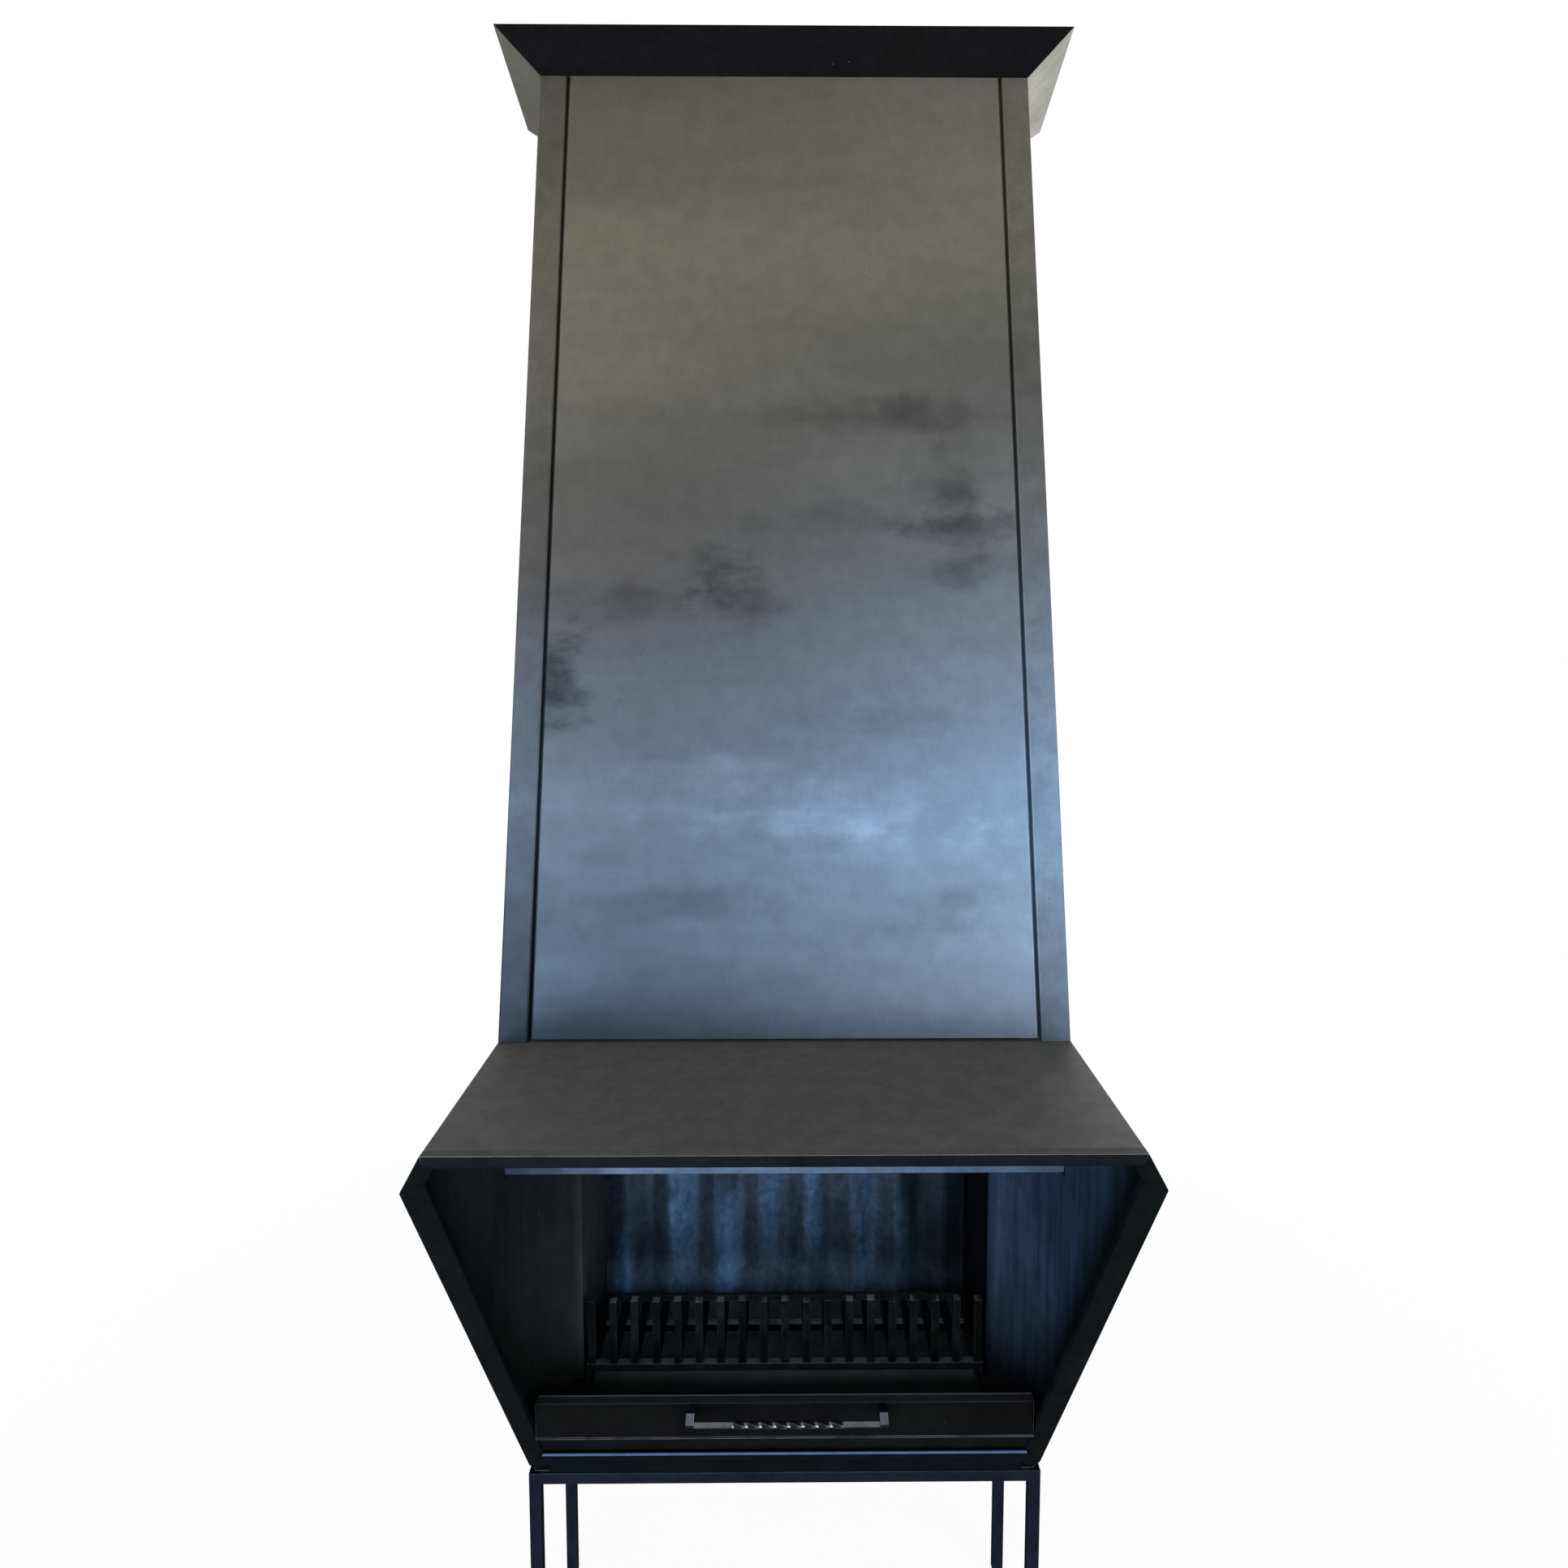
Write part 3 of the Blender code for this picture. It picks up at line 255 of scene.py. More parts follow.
class Effects:
    """The shader groups that the steels share, each built once."""

    NUMBER = "NodeSocketFloat"
    VECTOR = "NodeSocketVector"

    def __init__(self) -> None:
        """Build every group."""
        steel = {"Place": self.VECTOR, "Stretch": self.VECTOR, "Contrast": self.NUMBER}
        self.surface = self.build("rolled_steel_surface", steel, self.surface_masks)
        self.wear_and_sheen = self.build("edge_wear", {"Place": self.VECTOR, "Amount": self.NUMBER}, self.wear_masks)
        patch = dict.fromkeys(("Place", "Centre", "Reach"), self.VECTOR)
        self.patch = self.build("soft_patch", patch, self.patch_masks)

    def build(self, name: str, inputs: dict[str, str], fill: Callable) -> bpy.types.NodeTree:
        """Make a group, let a method fill it and lead its masks out.

        Args:
            name: The group's name.
            inputs: Types of its inputs by name.
            fill: The method that adds its nodes and returns its masks by name.

        Returns:
            The finished group.
        """
        group = bpy.data.node_groups.new(name, "ShaderNodeTree")
        for socket, kind in inputs.items():
            group.interface.new_socket(socket, in_out="INPUT", socket_type=kind)
        graph = Graph(group)
        masks = fill(graph, graph.add("NodeGroupInput").outputs)
        for mask in masks:
            group.interface.new_socket(mask, in_out="OUTPUT", socket_type=self.NUMBER)
        graph.add("NodeGroupOutput", masks)
        return group

    def surface_masks(self, graph: Graph, given: bpy.types.NodeOutputs) -> dict[str, Value]:
        """Clouds, brushed streaks, specks and grain of rolled and oiled steel.

        Args:
            graph: The group's graph.
            given: The group's inputs.

        Returns:
            The masks by name.
        """
        place = given["Place"]
        clouds = graph.noise(graph.stretched(place, given["Stretch"]), detail=7.0, roughness=0.62)
        strong = graph.times(graph.maths("SUBTRACT", clouds, 0.5), given["Contrast"])
        spotted = graph.noise(place, 38.0, detail=6.0, roughness=0.68)
        brushed = graph.stretched(place, (260.0, 260.0, 9.0))
        dots = graph.add("ShaderNodeTexVoronoi", {"Vector": place, "Scale": 55.0})
        near = graph.ease(dots.outputs["Distance"], 0.04, 0.1, 1.0, 0.0)
        rare = graph.ease(graph.noise(place, 23.0, detail=1.0), 0.62, 0.7)
        return {
            "Clouds": graph.maths("ADD", strong, 0.5, clamp=True),
            "Mottle": graph.ease(spotted, 0.32, 0.68),
            "Streaks": graph.noise(brushed, detail=3.0),
            "Specks": graph.times(near, rare),
            "Grain": graph.noise(place, 620.0, detail=3.0, roughness=0.6),
        }

    def wear_masks(self, graph: Graph, given: bpy.types.NodeOutputs) -> dict[str, Value]:
        """Scuffed bare metal on folds and cut edges, broken up by noise; the material also uses it for a
        painted edge highlight.

        Args:
            graph: The group's graph.
            given: The group's inputs.

        Returns:
            The masks by name.
        """
        rounded_edge = graph.add("ShaderNodeAttribute", attribute_name="rounded_edge").outputs["Fac"]
        broken = graph.ease(graph.noise(given["Place"], 34.0, detail=4.0), 0.3, 0.62, 0.35, 1.0)
        amount = graph.times(rounded_edge, given["Amount"])
        return {"Mask": graph.maths("MULTIPLY", amount, broken, clamp=True)}

    def patch_masks(self, graph: Graph, given: bpy.types.NodeOutputs) -> dict[str, Value]:
        """One soft-edged patch round a centre, with an uneven outline.

        Args:
            graph: The group's graph.
            given: The group's inputs.

        Returns:
            The masks by name.
        """
        shifted = graph.vector("SUBTRACT", given["Place"], given["Centre"]).outputs[0]
        shares = graph.vector("DIVIDE", shifted, given["Reach"]).outputs[0]
        drawn_out = graph.stretched(given["Place"], (0.8, 1.0, 1.35))
        ragged = graph.spread(graph.noise(drawn_out, 17.0, detail=6.0, roughness=0.6), -1.5, 1.5)
        distance = graph.maths("ADD", graph.length(shares), ragged)
        return {"Mask": graph.ease(distance, -0.1, 1.25, 1.0, 0.0)}


@dataclass(frozen=True)
class SteelFinish:
    """One steel surface: two tones mixed in clouds, its gloss, scuffed edges with a painted highlight, and
    painted light on aimed faces.
    """

    name: str
    dark: Colour = tone(0, 0, 0)
    light: Colour = tone(0, 0, 0)
    stretch: Triple = (5.0, 5.0, 9.0)
    contrast: float = 2.2
    gloss: Pair = (0.45, 0.6)
    metallic: float = 0.0
    specular: float = 0.3
    grain: float = 0.00006
    speck: Colour = tone(70, 66, 60)
    speck_share: float = 0.5
    # The colour and amount of scuffed metal on rounded edges, which also carry a painted highlight
    worn_and_sheen: Colour = tone(74, 84, 98)
    wear_and_sheen: float = 0.5
    mottle: float = 0.12
    streak: float = 0.1
    # A colour laid on faces that face upper_aim: on most finishes, painted light on the side that light falls
    # on
    upper: Colour = tone(0, 0, 0)
    upper_share: float = 0.0
    upper_aim: Triple = UP
    upper_limits: Pair = (0.2, 0.7)
    # A painted glint on faces that face glint_aim
    glint: Colour = tone(190, 206, 236)
    glint_share: float = 0.0
    glint_aim: Triple = (0.2, -0.77, 0.605)

    def ground(self, graph: Graph) -> Value:
        """Return the colour under streaks, specks and wear, mixed by the cloud mask."""
        return graph.mix(graph.clouds, self.dark, self.light)

    def material(self, effects: Effects) -> bpy.types.Material:
        """Build the material.

        Args:
            effects: The shared shader groups.

        Returns:
            The finished material.
        """
        material = bpy.data.materials.new(self.name)
        material.use_nodes = True
        graph = Graph(material.node_tree)
        inputs = {"Place": graph.place, "Stretch": self.stretch, "Contrast": self.contrast}
        masks = graph.group(effects.surface, **inputs).outputs
        graph.clouds = masks["Clouds"]
        colour = self.ground(graph)
        # Faces that face upper_aim take the upper colour: painted light on most finishes
        if self.upper_share:
            upper = graph.ease(graph.facing(self.upper_aim), *self.upper_limits, 0.0, self.upper_share)
            colour = graph.mix(upper, colour, self.upper)
        streaks = graph.spread(masks["Streaks"], 1.0 - self.streak, 1.0 + self.streak)
        mottle = graph.spread(masks["Mottle"], 1.0 - self.mottle, 1.0 + self.mottle)
        colour = graph.shaded(colour, graph.times(streaks, mottle))
        # Painted glints where faces turn to glint_aim
        if self.glint_share:
            glint = graph.ease(graph.facing(self.glint_aim), *GLINT_LIMITS, 0.0, self.glint_share)
            colour = graph.mix(glint, colour, self.glint)
        colour = graph.mix(graph.times(masks["Specks"], self.speck_share), colour, self.speck)
        # Scuffed edges with a painted highlight: their colour shows most where the edges face up and forward
        wear_and_sheen = graph.group(effects.wear_and_sheen, Place=graph.place, Amount=self.wear_and_sheen).outputs["Mask"]
        lit = graph.ease(graph.facing(HIGHLIGHT_AIM), *HIGHLIGHT_LIMITS, 0.2, 1.0)
        worn_and_sheen = graph.times(wear_and_sheen, lit)
        gloss = graph.spread(graph.clouds, *reversed(self.gloss))
        grain = {"Height": masks["Grain"], "Strength": GRAIN_STRENGTH, "Distance": self.grain}
        look = {
            "Base Color": graph.mix(worn_and_sheen, colour, self.worn_and_sheen),
            "Roughness": graph.maths("ADD", gloss, graph.times(worn_and_sheen, RUBBED_GLOSS)),
            "Metallic": self.metallic,
            "Specular IOR Level": self.specular,
            "Normal": graph.add("ShaderNodeBump", grain).outputs["Normal"],
        }
        graph.fill(material.node_tree.nodes["Principled BSDF"], look)
        return material


@dataclass(frozen=True)
class HoodFinish(SteelFinish):
    """The hood's steel: warm grey above, blue grey below as a painted reflection that is brighter on the
    right, with dark clouds in places.
    """

    gain: float = 1.0
    side_gains: Pair = (0.78, 0.84)
    across: Pair = (-0.24, 0.36)
    cloud_gains: Pair = (0.84, 1.14)
    foot: Pair = (0.4, 0.75)
    foot_gain: float = 1.0
    front_depth: float = -0.35
    patch_depth: float = 3.0
    # Each height: up, the left side's colour and the right side's; the blue grey of the lower rows is painted
    # reflection
    heights: tuple = (
        (0.4, tone(51, 64, 79), tone(108, 126, 148)),
        (0.44, tone(58, 72, 88), tone(122, 141, 165)),
        (0.56, tone(71, 86, 102), tone(126, 150, 175)),
        (0.682, tone(90, 106, 124), tone(122, 148, 177)),
        (0.839, tone(87, 97, 110), tone(110, 128, 149)),
        (0.977, tone(81, 83, 85), tone(104, 114, 124)),
        (1.108, tone(83, 83, 79), tone(100, 104, 106)),
        (1.275, tone(106, 102, 94), tone(90, 90, 85)),
        (1.447, tone(109, 105, 95), tone(109, 106, 96)),
        (1.69, tone(93, 89, 80), tone(104, 101, 91)),
    )
    # Each patch: across, up, how wide, how high, and how much lighter or darker; most lighter ones, round 0.64
    # to 0.75 up, are painted highlight
    patches: tuple = (
        (-0.098, 0.99, 0.05, 0.04, -0.55), (-0.065, 0.958, 0.08, 0.04, -0.34),
        (0.241, 1.053, 0.085, 0.045, -0.45), (0.235, 0.998, 0.08, 0.03, -0.42),
        (-0.3, 0.856, 0.06, 0.07, -0.75), (-0.215, 0.955, 0.12, 0.035, -0.28),
        (0.1, 1.205, 0.13, 0.03, -0.28), (0.215, 1.213, 0.09, 0.035, -0.26),
        (0.079, 1.064, 0.15, 0.022, -0.26), (0.215, 1.1, 0.1, 0.05, -0.26),
        (-0.19, 0.705, 0.12, 0.016, -0.15), (-0.215, 0.62, 0.07, 0.022, -0.18),
        (0.228, 0.572, 0.04, 0.022, -0.2), (0.24, 1.13, 0.04, 0.07, -0.22),
        (-0.112, 0.575, 0.12, 0.03, -0.24), (0.19, 0.545, 0.1, 0.03, -0.18),
        (0.13, 0.8, 0.15, 0.02, -0.16), (0.09, 0.68, 0.17, 0.045, 0.26),
        (-0.19, 0.7, 0.15, 0.035, 0.16), (0.13, 0.64, 0.12, 0.03, 0.18),
        (-0.06, 0.735, 0.09, 0.03, 0.14), (-0.14, 0.744, 0.13, 0.016, 0.14),
        (0.03, 0.668, 0.24, 0.018, 0.12), (0.12, 1.15, 0.11, 0.04, 0.08),
    )

    def ground(self, graph: Graph) -> Value:
        """Return the hood's colour by height and width, with its clouds and patches.

        Args:
            graph: The material's graph.

        Returns:
            A colour socket.
        """
        foot = self.heights[0][0]
        head = self.heights[-1][0]
        share = graph.spread(graph.parts["Z"], 0.0, 1.0, (foot, head))
        sides = []
        for side, side_gain in enumerate(self.side_gains, start=1):
            gain = self.gain * side_gain
            stops = [((row[0] - foot) / (head - foot), dimmed(row[side], gain)) for row in self.heights]
            sides.append(graph.ramp(share, stops))
        colour = graph.mix(graph.ease(graph.parts["X"], *self.across), *sides)
        shade = graph.spread(graph.clouds, *self.cloud_gains)
        if self.foot_gain != 1.0:
            shade = graph.times(shade, graph.ease(graph.parts["Z"], *self.foot, self.foot_gain, 1.0))
        group = bpy.data.node_groups["soft_patch"]
        for across, up, wide, high, change in self.patches:
            centre = (across, self.front_depth, up)
            patch = graph.group(group, Place=graph.place, Centre=centre, Reach=(wide, self.patch_depth, high))
            shade = graph.times(shade, graph.spread(patch.outputs["Mask"], 1.0, 1.0 + change))
        return graph.shaded(colour, shade)


@dataclass(frozen=True)
class FirebackFinish(SteelFinish):
    """The fireback: soot, with a painted blue sheen on its ribs, painted light at its foot, and darker towards
    the right.
    """

    painted_rib_sheen: Colour = tone(95, 140, 188)
    # Painted light at the foot, where the grate shades the fireback
    foot: Pair = (-0.26, -0.18)
    foot_painted_light: float = 3.5
    right: Pair = (0.17, 0.26)
    right_gain: float = 0.38
    wander: float = 0.016
    band_core: float = 0.3
    # Each painted sheen band: across, up, how wide, how high, and how strong
    bands: tuple = (
        (-0.285, -0.215, 0.03, 0.085, 0.7), (-0.182, -0.1, 0.038, 0.2, 0.76),
        (-0.097, -0.18, 0.034, 0.15, 0.7), (-0.023, -0.1, 0.034, 0.15, 0.5),
        (0.05, -0.085, 0.025, 0.15, 0.72), (0.143, -0.13, 0.03, 0.14, 0.95),
        (0.209, -0.15, 0.024, 0.1, 0.5),
    )

    def ground(self, graph: Graph) -> Value:
        """Return soot with an uneven painted blue sheen band on each rib, and painted light at the foot.

        Args:
            graph: The material's graph.

        Returns:
            A colour socket.
        """
        fine = graph.ease(graph.noise(graph.place, 75.0, detail=8.0, roughness=0.75), 0.36, 0.6, 0.84, 1.08)
        drawn = graph.noise(graph.stretched(graph.place, (17.0, 17.0, 8.0)), detail=7.0, roughness=0.7)
        soot = graph.ease(drawn, 0.36, 0.58, 0.66, 1.08)
        right = graph.ease(graph.parts["X"], *self.right, 1.0, self.right_gain)
        uneven = graph.noise(graph.stretched(graph.place, (20.0, 20.0, 6.0)), detail=6.0, roughness=0.65)
        stray = graph.spread(uneven, -self.wander, self.wander)
        painted_rib_sheen: Value = 0.0
        for across, up, wide, high, strength in self.bands:
            aside = graph.maths("ADD", graph.maths("SUBTRACT", graph.parts["X"], across), stray)
            beside = graph.ease(graph.maths("ABSOLUTE", aside), 0.0, wide, strength, 0.0)
            above = graph.maths("ABSOLUTE", graph.maths("SUBTRACT", graph.parts["Z"], up))
            band = graph.times(beside, graph.ease(above, high * self.band_core, high, 1.0, 0.0))
            painted_rib_sheen = graph.maths("ADD", painted_rib_sheen, band)
        painted_rib_sheen = graph.maths("MULTIPLY", painted_rib_sheen, graph.ease(uneven, 0.28, 0.6, 0.35, 1.0), clamp=True)
        colour = graph.mix(painted_rib_sheen, super().ground(graph), self.painted_rib_sheen)
        lift = graph.ease(graph.parts["Z"], *self.foot, self.foot_painted_light, 1.0)
        return graph.shaded(colour, graph.times(fine, graph.times(soot, right), lift))


@dataclass(frozen=True)
class HearthFinish(SteelFinish):
    """The hearth: grey, with painted shade outside its middle and painted light at its rear, where the
    fireback is reflected.
    """

    # Painted shade outside the middle, and painted light towards the rear
    painted_shade_across: Pair = (0.285, 0.325)
    rear: Pair = (-0.15, -0.03)
    rear_painted_light: Colour = tone(92, 104, 116)
    side_gain: float = 0.16

    def ground(self, graph: Graph) -> Value:
        """Return the hearth's grey, with painted shade beyond its middle and painted light at its rear.

        Args:
            graph: The material's graph.

        Returns:
            A colour socket.
        """
        across = graph.maths("ABSOLUTE", graph.parts["X"])
        shade = graph.ease(across, *self.painted_shade_across, 1.0, self.side_gain)
        rear = graph.ease(graph.parts["Y"], *self.rear)
        colour = graph.mix(rear, super().ground(graph), self.rear_painted_light)
        return graph.shaded(colour, shade)


@dataclass(frozen=True)
class CheekFinish(SteelFinish):
    """A rolled cheek: a painted blue sheen that ends along a line behind the mouth's frame, and painted shade
    near the frame.
    """

    sheen: Colour = tone(38, 55, 79)
    sheen_gains: Pair = (0.65, 1.15)
    amount: float = 1.0
    line_depth: float = 0.095
    line_width: float = 0.045
    wisp: float = 0.3
    # Painted shade: the frame's shadow darkens the part just behind the frame, and a narrow strip next to it
    # darker still
    front: Pair = (0.03, 0.16)
    frame_shadow_gain: float = 0.35
    seam_shadow: Pair = (0.012, 0.04)
    seam_gain: float = 0.15
    # The painted sheen fades towards the foot and in the niche; the niche wall's gain is painted light above
    # one and painted shade below one
    foot_z: Pair = (-0.24, -0.02)
    foot_sheen: float = 0.16
    niche_y: Pair = (-0.205, -0.19)
    niche_gain: float = 1.0
    niche_sheen: float = 0.0

    def ground(self, graph: Graph) -> Value:
        """Return dark steel with painted shade near the frame, a painted gain on the niche wall, and the
        painted sheen laid over its rear part.

        Args:
            graph: The material's graph.

        Returns:
            A colour socket.
        """
        wisps = graph.noise(graph.stretched(graph.place, (60.0, 60.0, 5.0)), detail=5.0, roughness=0.65)
        wisps = graph.ease(wisps, 0.32, 0.68, 1.0 - self.wisp, 1.0 + self.wisp)
        rise = graph.maths("SUBTRACT", graph.parts["Z"], MOUTH_FOOT_Z)
        lean = graph.times(rise, MOUTH_SLOPE)
        depth = graph.maths("ADD", graph.parts["Y"], graph.maths("ADD", lean, MOUTH_FOOT_DEPTH))
        behind = graph.ease(depth, self.line_depth - self.line_width, self.line_depth + self.line_width)
        front = graph.ease(depth, *self.front, self.frame_shadow_gain, 1.0)
        niche = graph.ease(graph.parts["Y"], *self.niche_y, 1.0, self.niche_gain)
        seam_shadow = graph.ease(depth, *self.seam_shadow, self.seam_gain, 1.0)
        plain = graph.shaded(super().ground(graph), graph.times(front, niche, seam_shadow))
        share = graph.times(behind, self.amount)
        low = graph.ease(graph.parts["Z"], *self.foot_z, self.foot_sheen, 1.0)
        niche = graph.ease(graph.parts["Y"], *self.niche_y, 1.0, self.niche_sheen)
        for factor in (low, niche, graph.spread(graph.clouds, *self.sheen_gains)):
            share = graph.maths("MULTIPLY", share, factor, clamp=True)
        return graph.shaded(graph.mix(share, plain, self.sheen), wisps)


@dataclass(frozen=True)
class Forming:
    """How a sheet or bar is finished where it is bent and where it is cut."""

    sheet: float
    fold: float
    edge: float
    segments: int = 3


def placed(name: str, data: bpy.types.ID) -> bpy.types.Object:
    """Return a new object of the scene that shows a mesh, a camera or a lamp.

    Args:
        name: The object's name.
        data: What it shows.

    Returns:
        The object.
    """
    thing = bpy.data.objects.new(name, data)
    bpy.context.scene.collection.objects.link(thing)
    return thing


class Workshop:
    """Makes the pieces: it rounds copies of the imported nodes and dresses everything."""

    def __init__(self, effects: Effects) -> None:
        """Remember the shader groups."""
        self.effects = effects

    def finish(self, finish: SteelFinish) -> bpy.types.Material:
        """Return a finish's material, built once."""
        return bpy.data.materials.get(finish.name) or finish.material(self.effects)

    def dress(self, node: str, finish: SteelFinish) -> None:
        """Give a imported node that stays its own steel."""
        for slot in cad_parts[node].material_slots:
            slot.material = self.finish(finish)

    def add(
        self, name: str, skin: Skin, finish: SteelFinish, body: Body, slot: Slot,
        replaces: tuple[str, ...] = (),
    ) -> bpy.types.Object:
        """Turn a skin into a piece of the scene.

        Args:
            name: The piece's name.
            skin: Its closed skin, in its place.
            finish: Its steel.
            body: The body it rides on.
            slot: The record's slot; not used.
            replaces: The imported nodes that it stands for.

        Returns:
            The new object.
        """
        mesh = bpy.data.meshes.new(name)
        skin.to_mesh(mesh)
        skin.free()
        mesh.shade_smooth()
        mesh.set_sharp_from_angle(angle=SMOOTH_ANGLE)
        mesh.materials.append(self.finish(finish))
        piece = placed(name, mesh)
        piece.modifiers.new("even_normals", "WEIGHTED_NORMAL").keep_sharp = True
        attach(piece, body.value)
        if replaces:
            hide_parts(*replaces)
        LOG.info("%s: %d faces", name, len(mesh.polygons))
        return piece

    def form(
        self, node: str, finish: SteelFinish, slot: Slot, forming: Forming, body: Body = Body.FIREPLACE,
        fit: Callable[[Skin], None] | None = None,
    ) -> bpy.types.Object:
        """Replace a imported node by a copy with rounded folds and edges.

        Args:
            node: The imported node.
            finish: The steel it gets.
            slot: The record's slot.
            forming: Its radii.
            body: The body it rides on.
            fit: A change to its merged skin before it is rounded.

        Returns:
            The new piece.
        """
        skin = bmesh.new()
        skin.from_mesh(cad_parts[node].data)
        bmesh.ops.remove_doubles(skin, verts=skin.verts, dist=MERGE_DISTANCE)
        bmesh.ops.dissolve_limit(skin, angle_limit=FLAT_ANGLE, verts=skin.verts, edges=skin.edges)
        if fit:
            fit(skin)
        self.round_off(skin, forming)
        return self.add(f"{node}_formed", skin, finish, body, slot, (node,))

    def round_off(self, skin: Skin, forming: Forming) -> None:
        """Round a skin's folds, then its cut edges, and mark both as rounded edges, for the scuffed colour and
        its painted highlight.

        Args:
            skin: The skin.
            forming: Its radii.
        """
        if forming.fold:
            for convex, radius in ((True, forming.fold), (False, forming.fold - forming.sheet)):
                edges = [edge for edge in skin.edges if edge.is_convex == convex]
                folds = [edge for edge in edges if self.is_fold(edge, forming)]
                self.bevel(skin, folds, radius, forming.segments)
        cuts = [edge for edge in skin.edges if edge.is_manifold and edge.calc_face_angle() > EDGE_ANGLE]
        self.bevel(skin, cuts, forming.edge, EDGE_SEGMENTS)

    def is_fold(self, edge: bmesh.types.BMEdge, forming: Forming) -> bool:
        """Return whether an edge is a bend: an angle between two faces wider than the sheet."""
        bent = edge.is_manifold and edge.calc_face_angle() >= FOLD_ANGLE
        return bent and min(map(self.width, edge.link_faces)) >= FOLD_WIDTH_SHARE * forming.sheet

    def width(self, face: bmesh.types.BMFace) -> float:
        """Return how wide a face is across its longest edge."""
        return face.calc_area() / max(side.calc_length() for side in face.edges)

    def bevel(self, skin: Skin, edges: list[bmesh.types.BMEdge], radius: float, segments: int) -> None:
        """Round some edges and mark their new faces as rounded edges.

        Args:
            skin: The skin.
            edges: Its edges to round.
            radius: How far each is cut back.
            segments: How many strips make each rounding.
        """
        if not edges or radius <= 0:
            return
        rounded_edge = skin.faces.layers.float.get("rounded_edge") or skin.faces.layers.float.new("rounded_edge")
        made = bmesh.ops.bevel(
            skin, geom=edges, offset=radius, offset_type="OFFSET", segments=segments, profile=ROUND_PROFILE,
            affect="EDGES", clamp_overlap=True, material=-1,
        )
        for face in made["faces"]:
            face[rounded_edge] = 1.0


def narrow_shoulder(skin: Skin) -> None:
    """Draw the mouth frame's inner edge outwards at its sloping shoulders.

    Args:
        skin: The merged copy of one piece of the frame, in its place.
    """
    lean = math.atan(MOUTH_SLOPE)
    foot = Vector((BODY_HALF_WIDTH, (SHOULDER_Z - MOUTH_FOOT_Z) / math.cos(lean)))
    top = Vector((SHELF_HALF_WIDTH, (SHELF_Z - MOUTH_FOOT_Z) / math.cos(lean)))
    along = (top - foot).normalized()
    outwards = Vector((along.y, -along.x))
    middle = (foot.y + top.y) / 2
    for vertex in skin.verts:
        place = Vector((abs(vertex.co.x), (vertex.co.z - MOUTH_FOOT_Z) / math.cos(lean)))
        inside = -(place - foot).dot(outwards)
        if inside <= 0 or inside > SHOULDER_REACH:
            continue
        moved = inside * (1 - SHOULDER_SHARE)
        if place.y < middle:
            rise = moved / outwards.y
            vertex.co.z += rise * math.cos(lean)
            vertex.co.y -= rise * math.sin(lean)
        else:
            vertex.co.x += math.copysign(moved / outwards.x, vertex.co.x)


@dataclass(frozen=True)
class Lamp:
    """One large soft lamp."""

    name: str
    place: Triple
    aim: Triple
    side: float
    power: float
    colour: Triple


